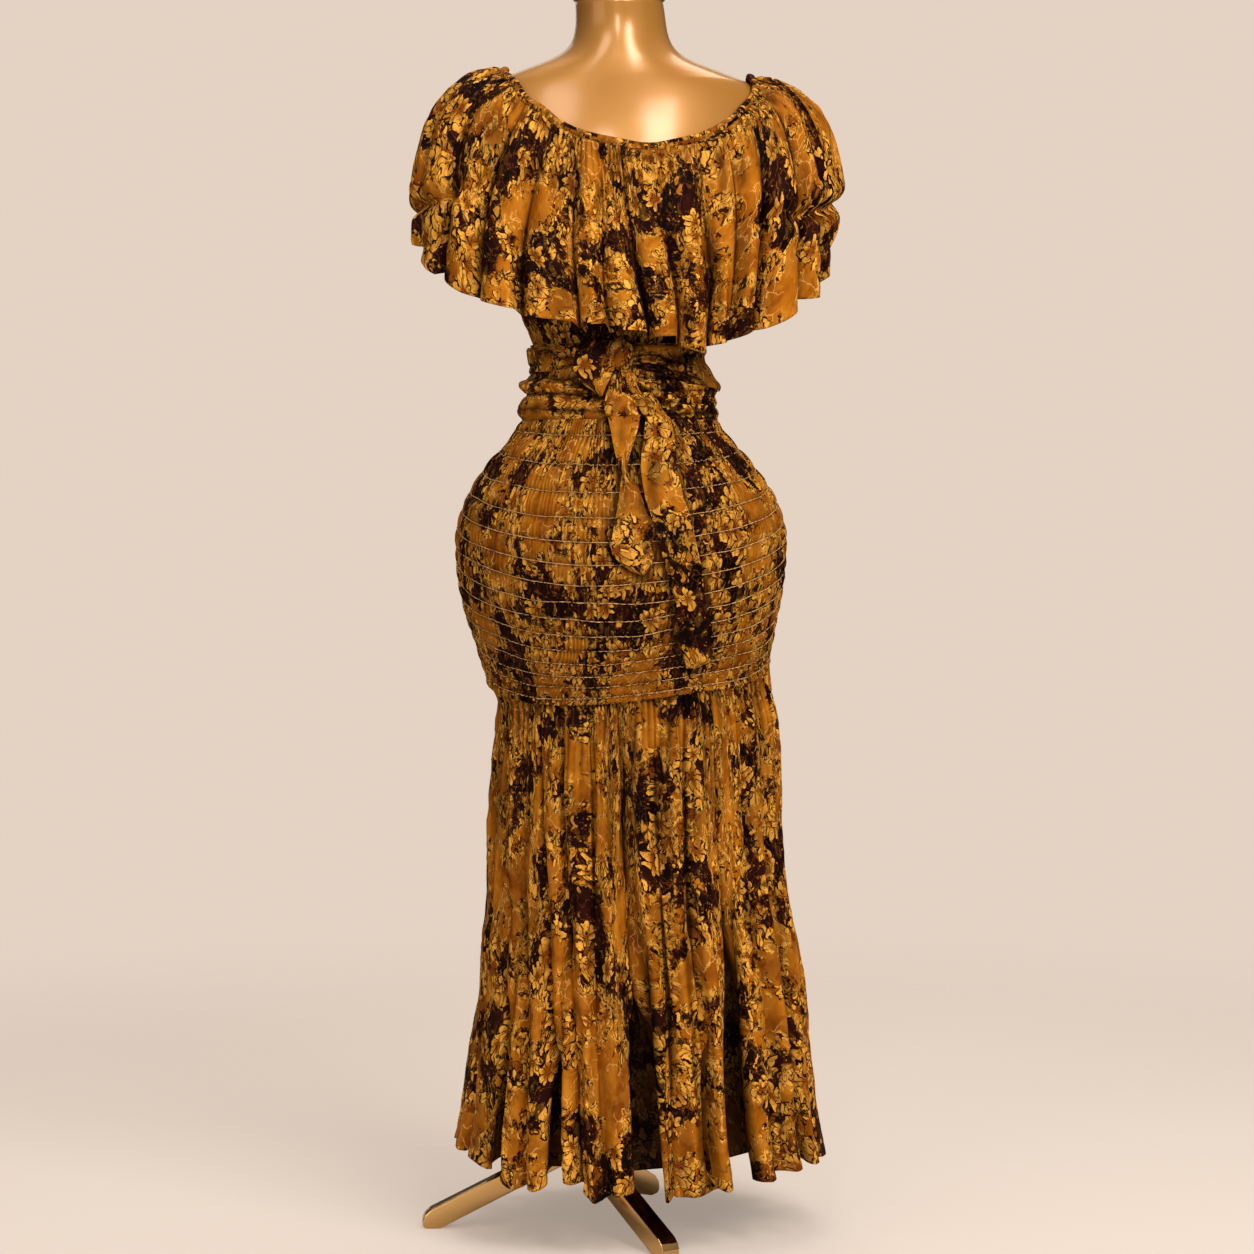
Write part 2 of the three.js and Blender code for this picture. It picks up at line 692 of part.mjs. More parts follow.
// hip panels: rows of elastic thread pull the outside in over a plain inside
const hipSteps = [0, 0.033, 0.067, 0.1, 0.17, 0.27, 0.38, 0.5, 0.62, 0.74, 0.84, 0.9, 0.95, 1];
function hipPanel(angles) {
  const outer = angles.map((angle) => steps(0, 1, 2 * threadRows).map((t, j) => {
    const out = outwardAt(hipPoint, angle, t, 1, 0.02);
    const pulled = j % 2 ? threadDepth : 0;
    return hipPoint(angle, t).addScaledVector(out, -pulled);
  }));
  const inner = angles.map((angle) => hipSteps.map((t) => {
    const out = outwardAt(hipPoint, angle, t, 1, 0.02);
    return hipPoint(angle, t).addScaledVector(out, -cloth - 1);
  }));
  trimSides(outer, seamGap / 2);
  trimSides(inner, seamGap / 2);
  return closedWall(outer, inner);
}
addPiece('hip_back', hipPanel(backAngles), dress);
addPiece('hip_front', hipPanel(frontAngles), dress);

const skirtSteps = [0, 0.05, 0.2, 0.38, 0.56, 0.72, 0.87, 1];
const backSkirt = steps(0, 56, 56);
const frontSkirt = steps(56, 112, 56);
addPiece('skirt_back', panelOn(skirtPoint, backSkirt, skirtSteps, 0.5, 0.02), dress);
addPiece('skirt_front', panelOn(skirtPoint, frontSkirt, skirtSteps, 0.5, 0.02), dress);

const tieAngles = steps(-86, -2.2, 10);
const otherAngles = steps(-1.8, 86, 10);
const tieSteps = steps(0, 1, 3);
addPiece('tie_left', panelOn(tiePoint, tieAngles, tieSteps, 1, 0.05, 0), dress);
addPiece('tie_right', panelOn(tiePoint, otherAngles, tieSteps, 1, 0.05, 0), dress);

const knot = new THREE.SphereGeometry(1, 14, 9);
knot.scale(13, 9, 15);
knot.translate(-4, -102.6, 1053);
addPiece('tie_knot', knot, dress);

const stripColumns = steps(-1, 1, 4);
const loopSteps = steps(0, 1, 16);
addPiece('tie_loop', panelOn(loopPoint, stripColumns, loopSteps, 0.1, 0.02, 0, 1.5), dress);
const leftEnd = (across, drop) => tailPoint(tailLeft, across, drop);
const rightEnd = (across, drop) => tailPoint(tailRight, across, drop);
const leftDrops = [-1036, -1018, -996, -978, -961, -946, -932, -918, -905, -892, -880, -856,
  -826, -803, -790];
const rightDrops = [-1034, -1019, -996, -973, -950, -926, -903, -880, -852, -823, -795, -766,
  -743, -720, -700, -687];
addPiece('tie_tail_left', panelOn(leftEnd, stripColumns, leftDrops, 0.1, 2, 0), dress);
addPiece('tie_tail_right', panelOn(rightEnd, stripColumns, rightDrops, 0.1, 2, 0), dress);

// form
const ringAngles = steps(-90, 270, figureColumns).slice(0, -1);
const torsoRings = figureRows.map((z) => ringAngles.map((angle) => figurePoint(angle, z)));
addPiece('form_torso', closedBody(torsoRings), formSkin);

const capProfile = [
  new THREE.Vector2(0, figureTop + seamGap),
  new THREE.Vector2(capRadius - 2, figureTop + seamGap),
  new THREE.Vector2(capRadius, figureTop + 2.5),
  new THREE.Vector2(capRadius, figureTop + capHeight - 4),
  new THREE.Vector2(capRadius - 4, figureTop + capHeight),
  new THREE.Vector2(0, figureTop + capHeight),
];
const neckCap = new THREE.LatheGeometry(capProfile, 36);
neckCap.rotateX(Math.PI / 2);
neckCap.translate(-2.3, 2, 0);
addPiece('neck_cap', turnedUp(neckCap), formSkin);

// a turned piece is closed and its faces look outward after the turn from y up to z up
function turnedUp(geometry) {
  const position = geometry.getAttribute('position');
  const points = [];
  const numbers = [];
  const known = new Map();
  for (let i = 0; i < position.count; i += 1) {
    const point = new THREE.Vector3().fromBufferAttribute(position, i);
    const key = point.toArray().map((value) => value.toFixed(3)).join(' ').replaceAll('-0.000', '0.000');
    if (!known.has(key)) {
      known.set(key, points.length);
      points.push(point);
    }
    numbers.push(known.get(key));
  }
  const faces = [];
  const index = geometry.index ? Array.from(geometry.index.array) : numbers.map((n, i) => i);
  for (let i = 0; i < index.length; i += 3) {
    const face = [0, 1, 2].map((k) => numbers[index[i + k]]);
    if (new Set(face).size === 3) faces.push(face);
  }
  return meshFrom(points, faces);
}

function turnedPiece(profile, count) {
  const points = profile.map(([radius, z]) => new THREE.Vector2(radius, z));
  const geometry = new THREE.LatheGeometry(points, count);
  geometry.rotateX(Math.PI / 2);
  geometry.translate(standX, 0, 0);
  return turnedUp(geometry);
}

// stand
addPiece('stand_pole', turnedPiece([
  [0, hubTop + seamGap], [poleRadius, hubTop + seamGap],
  [poleRadius, figureBottom - seamGap], [0, figureBottom - seamGap],
], 20), standMetal);
addPiece('stand_hub', turnedPiece([
  [0, hubBottom], [hubRadius - 2, hubBottom], [hubRadius, hubBottom + 2],
  [hubRadius, hubTop - 2], [hubRadius - 2, hubTop], [0, hubTop],
], 24), standMetal);
addPiece('stand_screw', turnedPiece([
  [0, hubBottom - 11], [4, hubBottom - 11], [5.5, hubBottom - 9],
  [5.5, hubBottom - seamGap], [0, hubBottom - seamGap],
], 16), standMetal);

// a leg is a flat bar seen from the side; its foot lies flat on the floor
const legSide = new THREE.Shape([
  new THREE.Vector2(hubRadius + 0.5, 102.5),
  new THREE.Vector2(hubRadius + 0.5, 75.5),
  new THREE.Vector2(171, 0),
  new THREE.Vector2(legReach - 5, 0),
  new THREE.Vector2(legReach - 1, 3),
  new THREE.Vector2(legReach, 9),
  new THREE.Vector2(legReach - 3, 16),
  new THREE.Vector2(legReach - 10, 22.5),
]);
legTurns.forEach((turn, i) => {
  const leg = new THREE.ExtrudeGeometry(legSide, { depth: legWidth, bevelEnabled: false });
  leg.translate(0, 0, -legWidth / 2);
  leg.rotateX(Math.PI / 2);
  leg.rotateZ(rad(turn - 90));
  leg.translate(standX, 0, 0);
  addPiece(`stand_leg_${i + 1}`, turnedUp(leg), standMetal);
});

// the origin is at the middle of the foot print, on the floor
const box = new THREE.Box3().setFromObject(group);
for (const mesh of group.children) {
  mesh.geometry.translate(-(box.min.x + box.max.x) / 2, -(box.min.y + box.max.y) / 2, -box.min.z);
}

export default group;
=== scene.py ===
import math

import bmesh
import bpy
import numpy as np
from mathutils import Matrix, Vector


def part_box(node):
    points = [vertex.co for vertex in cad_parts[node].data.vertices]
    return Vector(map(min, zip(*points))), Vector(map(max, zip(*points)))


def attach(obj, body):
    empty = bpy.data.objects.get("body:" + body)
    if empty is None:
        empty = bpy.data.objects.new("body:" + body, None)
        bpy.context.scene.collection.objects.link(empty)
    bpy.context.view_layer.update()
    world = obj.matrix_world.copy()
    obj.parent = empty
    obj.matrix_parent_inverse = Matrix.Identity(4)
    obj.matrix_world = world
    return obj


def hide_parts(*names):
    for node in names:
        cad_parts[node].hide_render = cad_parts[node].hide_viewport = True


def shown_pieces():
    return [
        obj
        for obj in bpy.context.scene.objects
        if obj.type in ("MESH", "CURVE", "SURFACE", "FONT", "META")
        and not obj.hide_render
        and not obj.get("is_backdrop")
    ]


# Off-shoulder maxi dress on a limbless gold dress form.
# Everything is worked out in millimetres: z up, the back of the dress faces -y.
# Angles go round the body: 0 at the back, 90 at +x, 180 at the front.

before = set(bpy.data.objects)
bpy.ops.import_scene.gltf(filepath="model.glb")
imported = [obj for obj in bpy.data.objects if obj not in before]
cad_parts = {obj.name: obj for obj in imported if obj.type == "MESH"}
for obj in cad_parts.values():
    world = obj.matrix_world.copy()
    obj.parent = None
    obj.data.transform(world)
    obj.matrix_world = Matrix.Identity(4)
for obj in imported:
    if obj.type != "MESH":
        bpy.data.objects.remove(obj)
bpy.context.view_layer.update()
scene = bpy.context.scene

# the neck cap in the frame shows where the body's axis stands
capLow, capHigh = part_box("neck_cap")
shift = np.array([(capLow.x + capHigh.x) * 500 + 2.3, (capLow.y + capHigh.y) * 500 - 2.0, 0.0])
print("frame loaded, nodes:", len(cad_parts))


# small helpers for numbers and cloth surfaces

def lerp(a, b, t):
    return a + (b - a) * t


def smooth(a, b, x):
    t = np.clip((x - a) / (b - a), 0, 1)
    return t * t * (3 - 2 * t)


def vec(x, y, z):
    return np.stack(np.broadcast_arrays(x, y, z), -1).astype(float)


def unit(v):
    return v / np.maximum(np.linalg.norm(v, axis=-1, keepdims=True), 1e-9)


# smooth reading of a table whose first column goes up; a ring runs once round the body
def tableOf(names, rows, ring=False):
    keys = names.split()[1:]
    rows = np.array(rows, float)
    if ring:
        rows = np.vstack([rows + np.array([turn] + [0] * len(keys)) for turn in (-360, 0, 360)])
    at, values = rows[:, 0], rows[:, 1:]
    span = np.diff(at)
    rise = np.diff(values, axis=0) / span[:, None]
    slopes = np.vstack([rise[:1], np.zeros((len(rise) - 1, len(keys))), rise[-1:]])
    before, after = rise[:-1], rise[1:]
    product = before * after
    total = np.where(np.abs(before + after) < 1e-12, 1, before + after)
    slopes[1:-1] = np.where(product <= 0, 0, 2 * product / total)

    def read(x):
        x = np.asarray(x, float)
        i = np.clip(np.searchsorted(at, x, side="left") - 1, 0, len(at) - 2)
        t = np.clip((x - at[i]) / span[i], 0, 1)[..., None]
        bend = t * (1 - t) * span[i][..., None]
        found = values[i] * (1 + 2 * t) * (1 - t) ** 2 + values[i + 1] * t * t * (3 - 2 * t)
        found = found + bend * ((1 - t) * slopes[i] - t * slopes[i + 1])
        return {key: found[..., c] for c, key in enumerate(keys)}

    return read


# uneven value from -1 to 1; x repeats after a whole number of turns
def uneven(x, y, seed, turns=256):
    table = np.random.default_rng(seed).uniform(-1, 1, (turns, 256))
    x, y = np.broadcast_arrays(np.asarray(x, float), np.asarray(y, float))
    i, j = np.floor(x).astype(int), np.floor(y).astype(int)
    fx, fy = x - i, y - j
    fx, fy = fx * fx * (3 - 2 * fx), fy * fy * (3 - 2 * fy)
    left = lerp(table[i % turns, j % 256], table[i % turns, (j + 1) % 256], fy)
    right = lerp(table[(i + 1) % turns, j % 256], table[(i + 1) % turns, (j + 1) % 256], fy)
    return lerp(left, right, fx)


# sharp crests between soft hollows, as crinkled rayon has
def crests(x, y, seed, turns=256):
    return 1 - 2.2 * np.abs(uneven(x, y, seed, turns))


def outwardAt(surface, u, v, du, dv):
    across = surface(u + du, v) - surface(u - du, v)
    down = surface(u, v + dv) - surface(u, v - dv)
    return unit(np.cross(down, across))


# normals of a grid of points, rows going down and columns going round
def normalsOf(grid, closed):
    down = np.gradient(grid, axis=0)
    if closed:
        body = grid[:, :-1]
        across = np.roll(body, -1, 1) - np.roll(body, 1, 1)
        across = np.concatenate([across, across[:, :1]], 1)
    else:
        across = np.gradient(grid, axis=1)
    return unit(np.cross(down, across))


# the last rows go round the edge and up behind it, as a narrow turned hem does
def withHem(grid, closed, fold=1.5, reach=(1, 2, 3)):
    out = normalsOf(grid, closed)
    fall = unit(grid[-1] - grid[-2])
    edge = grid[-1] - out[-1] * fold / 2 + fall * 0.5
    behind = [grid[-1 - k] - out[-1 - k] * fold for k in reach]
    return np.concatenate([grid, edge[None], np.array(behind)], 0)


# cloth coordinates in metres, by length along the widest row and down the columns
def clothCoordinates(grid, start=(0, 0), across=1.0, down=1.0):
    steps = np.linalg.norm(np.diff(grid, axis=1), axis=-1)
    widest = steps[np.argmax(steps.sum(1))]
    u = np.concatenate([[0], np.cumsum(widest)]) * across
    fall = np.linalg.norm(np.diff(grid, axis=0), axis=-1).mean(1)
    v = -np.concatenate([[0], np.cumsum(fall)]) * down
    uv = np.stack(np.broadcast_arrays(u[None, :], v[:, None]), -1) * 0.001
    return uv + np.array(start)


def meshOf(name, points, faces, uv=None):
    mesh = bpy.data.meshes.new(name)
    points = ((points + shift) * 0.001).astype(np.float32)
    faces = np.asarray(faces, np.int32)
    mesh.vertices.add(len(points))
    mesh.vertices.foreach_set("co", points.ravel())
    mesh.loops.add(faces.size)
    mesh.loops.foreach_set("vertex_index", faces.ravel())
    mesh.polygons.add(len(faces))
    size = faces.shape[1]
    mesh.polygons.foreach_set("loop_start", np.arange(0, faces.size, size, dtype=np.int32))
    mesh.polygons.foreach_set("loop_total", np.full(len(faces), size, np.int32))
    mesh.update(calc_edges=True)
    if uv is not None:
        layer = mesh.uv_layers.new(name="cloth")
        layer.data.foreach_set("uv", uv[faces.ravel()].astype(np.float32).ravel())
    mesh.polygons.foreach_set("use_smooth", np.ones(len(faces), bool))
    mesh.validate()
    return mesh


def gridFaces(rows, columns, offset=0):
    r, c = np.meshgrid(np.arange(rows - 1), np.arange(columns - 1), indexing="ij")
    a = r * columns + c
    quads = np.stack([a, a + columns, a + columns + 1, a + 1], -1).reshape(-1, 4)
    return quads + offset


def addPiece(name, mesh, material, slot, *nodes):
    piece = bpy.data.objects.new(name, mesh)
    scene.collection.objects.link(piece)
    piece.data.materials.append(material)
    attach(piece, "root")
    if nodes:
        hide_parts(*nodes)
    return piece


# stores a value per point for the material; the cloth reads it as painted shade
def shade(piece, name, values):
    layer = piece.data.attributes.new(name, "FLOAT", "POINT")
    layer.data.foreach_set("value", np.asarray(values, np.float32).ravel())


# an open sheet of cloth from a grid; valley is painted shade that darkens the colour deep in the
# folds, and a painted highlight where it is negative
def clothSheet(name, grid, uv, material, *nodes, valley, cut, held="gathered", rests=()):
    rows, columns = grid.shape[:2]
    mesh = meshOf(name, grid.reshape(-1, 3), gridFaces(rows, columns), uv.reshape(-1, 2))
    piece = addPiece(name, mesh, material, "dress_cloth", *nodes)
    shade(piece, "valley", valley)
    return piece


# a closed ribbon of cloth: both faces and all four edges; valley is painted shade, as on the open
# sheets
def ribbon(name, grid, thick, uv, material, *nodes, valley, cut, held="folded", rests=(),
           area=None):
    rows, columns = grid.shape[:2]
    out = normalsOf(grid, False)
    count = rows * columns
    points = np.concatenate([grid.reshape(-1, 3), (grid - out * thick).reshape(-1, 3)])
    front = gridFaces(rows, columns)
    back = gridFaces(rows, columns, count)[:, ::-1]
    number = np.arange(count).reshape(rows, columns)
    rim = np.concatenate([number[0, ::-1], number[1:, 0], number[-1, 1:], number[-2:0:-1, -1]])
    after = np.roll(rim, -1)
    sides = np.stack([rim, rim + count, after + count, after], -1)
    faces = np.concatenate([front, back, sides])
    both = np.concatenate([uv.reshape(-1, 2)] * 2)
    mesh = meshOf(name, points, faces, both)
    solid = bmesh.new()
    solid.from_mesh(mesh)
    bmesh.ops.recalc_face_normals(solid, faces=solid.faces)
    solid.to_mesh(mesh)
    solid.free()
    mesh.set_sharp_from_angle(angle=math.radians(50))
    piece = addPiece(name, mesh, material, "dress_cloth", *nodes)
    shade(piece, "valley", np.concatenate([valley.ravel(), valley.ravel()]))
    return piece


# closed body over rings of points, from the first ring up to the last
def closedRings(rings):
    count = rings.shape[1]
    points = np.concatenate([rings.reshape(-1, 3), [rings[0].mean(0)], [rings[-1].mean(0)]])
    first, last = len(points) - 2, len(points) - 1
    i = np.arange(count)
    after = (i + 1) % count
    faces = []
    for j in range(len(rings) - 1):
        here, above = j * count, (j + 1) * count
        faces.append(np.stack([here + i, here + after, above + after], -1))
        faces.append(np.stack([here + i, above + after, above + i], -1))
    top = (len(rings) - 1) * count
    faces.append(np.stack([np.full(count, first), after, i], -1))
    faces.append(np.stack([np.full(count, last), top + i, top + after], -1))
    return points, np.concatenate(faces)


# materials

def linear(code):
    parts = [int(code[i:i + 2], 16) / 255 for i in (1, 3, 5)]
    return [p / 12.92 if p <= 0.04045 else ((p + 0.055) / 1.055) ** 2.4 for p in parts] + [1]


# adds a node with its settings, its fixed values and its links
def addNode(tree, kind, values=None, links=None, **settings):
    node = tree.nodes.new(kind)
    for key, value in settings.items():
        setattr(node, key, value)
    for key, value in (values or {}).items():
        node.inputs[key].default_value = value
    for key, source in (links or {}).items():
        tree.links.new(source, node.inputs[key])
    return node


# sets the first two stops of a colour ramp: place and hex colour of each
def setStops(ramp, *stops):
    for element, (place, tone) in zip(ramp.color_ramp.elements, stops):
        element.position, element.color = place, linear(tone)


def newMaterial(name):
    material = bpy.data.materials.new(name)
    material.use_nodes = True
    tree = material.node_tree
    tree.nodes.clear()
    return material, tree


# the nodes that the print is reckoned with: kind, settings, sockets fed and socket read
printNodes = {
    "band": ("ShaderNodeMapRange", {"interpolation_type": "SMOOTHSTEP"}, (0, 1, 2), "Result"),
    "mix": ("ShaderNodeMix", {"data_type": "RGBA"}, (0, 6, 7), 2),
    "shift": ("ShaderNodeVectorMath", {"operation": "ADD"}, (0, 1), 0),
    "away": ("ShaderNodeVectorMath", {"operation": "SUBTRACT"}, (0, 1), 0),
    "scale": ("ShaderNodeVectorMath", {"operation": "SCALE"}, (0, "Scale"), 0),
    "noise": ("ShaderNodeTexNoise", {}, ("Vector", "Scale", "Detail", "Roughness"), "Fac"),
    "noiseColour": ("ShaderNodeTexNoise", {}, ("Vector", "Scale", "Detail"), "Color"),
    "gamma": ("ShaderNodeGamma", {}, ("Color", "Gamma"), 0),
    "brightness": ("ShaderNodeHueSaturation", {}, ("Color", "Value"), 0),
}

# Rayon challis, plain woven, crinkled and batik printed: almost no gloss, so the folds show
# by their shade; ochre ground, plum dye blooms, gold petals and leaf veins. Lengths in metres.
printLook = {
    "groundDark": "#71390a", "ground": "#9c5e12", "groundLight": "#b2731d",
    "gold": "#dea447", "vein": "#e2b066", "outline": "#1c0808",
    "halo": "#4a1c10", "plum": "#0f0506", "plumSoft": "#2e100e", "glow": "#7d4818",
    # hollow is the colour of the painted shade in the folds' hollows
    "flowerHeart": "#8a4c12", "petalDark": "#a86c1a", "dot": "#bd842e", "paintedFoldShade": "#120508",
    "bloomSize": 0.105,
    "petalSize": 0.015,
    "veinCell": 0.024,
    "dotSize": 0.0055,
    "contrast": 1.12,
    "weaveScale": 900.0,             # drawn 3 times as coarse as its 0.35 mm so that it shows
    "crinkleScale": (190, 48, 1),    # about 5 mm across and 20 mm along
    "roughness": 0.6,
}
# flower heads: size, offset, half the number of petals, share left out
flowerHeads = ((0.055, 1.9, 4.5, 0.62), (0.036, 7.3, 3.5, 0.58))
# loose petals: turn, squeeze, offset, share left out, size
loosePetals = ((0.3, 0.45, 0.0, 0.58, 1.0), (-0.9, 0.5, 4.3, 0.56, 0.8),
               (1.2, 0.6, 2.6, 0.62, 0.55))


def printedRayon(name, dark=0.0):
    look = printLook
    material, tree = newMaterial(name)

    # an input is a number, a vector, a hex colour or the result of another node
    def put(what, *inputs):
        sums = ("ShaderNodeMath", {"operation": what}, (0, 1, 2), 0)
        kind, settings, sockets, result = printNodes.get(what, sums)
        values, links = {}, {}
        for socket, given in zip(sockets, inputs):
            if isinstance(given, bpy.types.NodeSocket):
                links[socket] = given
            else:
                values[socket] = linear(given) if isinstance(given, str) else given
        return addNode(tree, kind, values, links, **settings).outputs[result]

    # lays one colour over another by the product of its masks
    def lay(under, over, *masks):
        product = masks[0]
        for mask in masks[1:]:
            product = put("MULTIPLY", product, mask)
        return put("mix", product, under, over)

    def bent(source, scale, far):
        centred = put("away", put("noiseColour", source, scale, 2), (0.5, 0.5, 0.5))
        return put("shift", source, put("scale", centred, far))

    # thin lines where a noise is at its middle
    def lines(value, low, high):
        off = put("ABSOLUTE", put("SUBTRACT", value, 0.5))
        return put("SUBTRACT", 1.0, put("band", off, low, high))

    cloth = addNode(tree, "ShaderNodeUVMap", uv_map="cloth").outputs["UV"]
    flowing = bent(cloth, 34, 0.030)
    crisp = bent(flowing, 150, 0.007)

    # the print's noises: size in metres, detail, roughness and offset of each
    noise = {}
    for field, source, size, detail, rough, offset in (
            ("mottle", flowing, 0.06, 4, 0.55, 0),
            ("bleed", flowing, look["bloomSize"], 3, 0.55, 0),
            ("bloom", flowing, look["bloomSize"], 8, 0.66, 0),
            ("lively", crisp, 0.06, 5, 0.65, 5.9), ("gold", crisp, 0.03, 5, 0.62, 3.1),
            ("veins", flowing, 0.07, 2, 0.5, 7.7), ("flecks", crisp, 0.016, 5, 0.68, 8.8),
            ("scrolls", crisp, 0.011, 2, 0.5, 1.3), ("wideScrolls", crisp, 0.019, 2, 0.5, 6.1),
            ("glow", crisp, 0.017, 2, 0.5, 9.4), ("flower", crisp, 0.006, 2, 0.5, 2.2)):
        place = put("shift", source, (offset, offset * 0.7, 0)) if offset else source
        noise[field] = put("noise", place, 1 / size, detail, rough)

    # ground: uneven dye take-up
    ground = addNode(tree, "ShaderNodeValToRGB", links={"Fac": noise["mottle"]})
    setStops(ground, (0.32, look["groundDark"]), (0.68, look["groundLight"]))
    ground.color_ramp.elements.new(0.5).color = linear(look["ground"])
    colour = ground.outputs["Color"]

    busy, deep, core = (put("band", noise["bloom"], low - dark, high - dark)
                        for low, high in ((0.462, 0.486), (0.512, 0.53), (0.53, 0.56)))
    bleed = put("band", noise["bleed"], 0.46 - dark, 0.58 - dark)
    lively = put("MAXIMUM", busy, put("band", noise["lively"], 0.53, 0.555))

    # light gold areas, more of them where the print is lively
    colour = lay(colour, look["gold"], put("band", noise["gold"], 0.47, 0.51),
                 put("MULTIPLY_ADD", lively, 0.8, 0.12))

    # leaf veins: thin tan lines round cells in the plain areas
    edge = addNode(tree, "ShaderNodeTexVoronoi", {"Scale": 1 / look["veinCell"]}, {"Vector": crisp},
                   feature="DISTANCE_TO_EDGE").outputs["Distance"]
    colour = lay(colour, look["vein"], put("SUBTRACT", 1.0, put("band", edge, 0.012, 0.03)),
                 put("band", noise["veins"], 0.49, 0.54), 0.6)

    # brown bleed round the blooms, then small ragged flecks among the gold
    colour = lay(colour, look["halo"], bleed, 0.7)
    colour = lay(colour, look["outline"], put("band", noise["flecks"], 0.545, 0.575), lively, 0.92)

    # scrolls, dark over the gold
    scroll = put("MAXIMUM", lines(noise["scrolls"], 0.008, 0.026),
                 lines(noise["wideScrolls"], 0.004, 0.016))
    colour = lay(colour, look["outline"], scroll, lively, 0.9)

    # the dye bloom itself, ragged at its edge
    plum = put("mix", put("band", noise["mottle"], 0.42, 0.6), look["plum"], look["plumSoft"])
    colour = lay(colour, plum, deep, 0.97)
    colour = lay(colour, look["glow"], lines(noise["glow"], 0.003, 0.02), deep, 0.55)

    # flower heads: petals round the middle of a cell, parted by dark lines
    for size, offset, petals, keep in flowerHeads:
        scaled = put("scale", put("shift", crisp, (offset, offset * 1.3, 0)), 1 / size)
        cell = addNode(tree, "ShaderNodeTexVoronoi", {"Scale": 1.0, "Randomness": 0.85},
                       {"Vector": scaled}, voronoi_dimensions="2D").outputs
        inCell = addNode(tree, "ShaderNodeSeparateXYZ",
                         links={0: put("away", scaled, cell["Position"])}).outputs
        tint = addNode(tree, "ShaderNodeSeparateColor", links={"Color": cell["Color"]}).outputs
        turn = put("MULTIPLY_ADD", put("ARCTAN2", inCell[1], inCell[0]), petals,
                   put("MULTIPLY", tint[1], 6.0))
        lobe = put("ABSOLUTE", put("COSINE", turn))
        reach = put("MULTIPLY_ADD", put("POWER", lobe, 0.6), 0.26,
                    put("MULTIPLY_ADD", tint[2], 0.1, 0.12))
        inside = put("SUBTRACT", reach, cell["Distance"])
        kept = put("MULTIPLY", put("GREATER_THAN", tint[0], keep), lively)
        colour = lay(colour, look["outline"], put("band", inside, -0.045, -0.03), kept)
        outer = put("band", cell["Distance"], 0.08, 0.34)
        fill = put("mix", outer, look["flowerHeart"], look["gold"])
        fill = lay(fill, look["outline"], lines(noise["flower"], 0.01, 0.04), 0.5)
        parted = put("band", lobe, 0.22, 0.36)
        colour = lay(colour, fill, put("band", inside, 0.0, 0.014), parted, kept)

    # loose petals with a dark outline, some over the blooms
    for turn, squeeze, offset, keep, size in loosePetals:
        placed = addNode(tree, "ShaderNodeMapping",
                         {"Scale": (1.0, squeeze, 1), "Rotation": (0, 0, turn)},
                         {"Vector": put("shift", crisp, (offset, offset, 0))}).outputs[0]
        cell = addNode(tree, "ShaderNodeTexVoronoi", {"Scale": 1 / (look["petalSize"] * size)},
                       {"Vector": placed}).outputs
        chosen = addNode(tree, "ShaderNodeSeparateColor", links={"Color": cell["Color"]}).outputs[0]
        kept = put("MULTIPLY", put("GREATER_THAN", chosen, keep),
                   put("MULTIPLY", busy, put("MULTIPLY_ADD", core, -0.9, 1.0)))
        body = put("SUBTRACT", 1.0, put("band", cell["Distance"], 0.31, 0.345))
        rim = put("SUBTRACT", 1.0, put("band", cell["Distance"], 0.41, 0.46))
        colour = lay(colour, look["outline"], rim, kept, 0.95)
        tone = put("mix", put("band", chosen, 0.56, 0.9), look["petalDark"], look["gold"])
        colour = lay(colour, tone, body, kept)

    # small gold dots in the dye, small dark ones outside it
    dots = addNode(tree, "ShaderNodeTexVoronoi", {"Scale": 1 / look["dotSize"]},
                   {"Vector": crisp}).outputs
    pick = addNode(tree, "ShaderNodeSeparateColor", links={"Color": dots["Color"]}).outputs[1]
    dot = put("MULTIPLY", put("SUBTRACT", 1.0, put("band", dots["Distance"], 0.2, 0.28)),
              put("GREATER_THAN", pick, 0.72))
    colour = lay(colour, look["dot"], dot, deep, 0.9)
    colour = lay(colour, look["outline"], dot, lively, put("SUBTRACT", 1.0, deep), 0.85)

    # painted shade: the folds' hollows are darkened by the valley value, and where it is negative
    # the crests get a painted highlight
    paintedFoldShade = addNode(tree, "ShaderNodeAttribute", attribute_name="valley").outputs["Fac"]
    colour = lay(colour, look["paintedFoldShade"], paintedFoldShade, 0.92)
    paintedCrestLight = put("MAXIMUM", put("MULTIPLY", paintedFoldShade, -1.0), 0.0)
    colour = put("brightness", put("gamma", colour, look["contrast"]),
                 put("MULTIPLY_ADD", paintedCrestLight, 1.0, 1.07))

    # plain weave and crinkle
    weave = put("noise", cloth, look["weaveScale"], 2.0)
    grain = addNode(tree, "ShaderNodeMapping", {"Scale": look["crinkleScale"]},
                    {"Vector": flowing})
    crinkle = put("noise", grain.outputs[0], 1.0, 4.0, 0.6)
    fine = addNode(tree, "ShaderNodeBump", {"Strength": 0.22, "Distance": 0.0006},
                   {"Height": weave})
    bump = addNode(tree, "ShaderNodeBump", {"Strength": 0.8, "Distance": 0.0026},
                   {"Height": crinkle, "Normal": fine.outputs[0]})
    rough = addNode(tree, "ShaderNodeMapRange",
                    {"From Min": 0.3, "From Max": 0.7, "To Min": look["roughness"] - 0.1,
                     "To Max": look["roughness"] + 0.14}, {"Value": noise["mottle"]})
    surface = addNode(tree, "ShaderNodeBsdfPrincipled", {"IOR": 1.47, "Specular IOR Level": 0.06},
                      {"Base Color": colour, "Roughness": rough.outputs["Result"],
                       "Normal": bump.outputs[0]})
    addNode(tree, "ShaderNodeOutputMaterial", links={"Surface": surface.outputs[0]})
    return material


# Elastic sewing thread, tan cotton cover: matt, a little lighter than the cloth.
threadLook = {"dark": "#b67f40", "light": "#efc086", "roughness": 0.72}


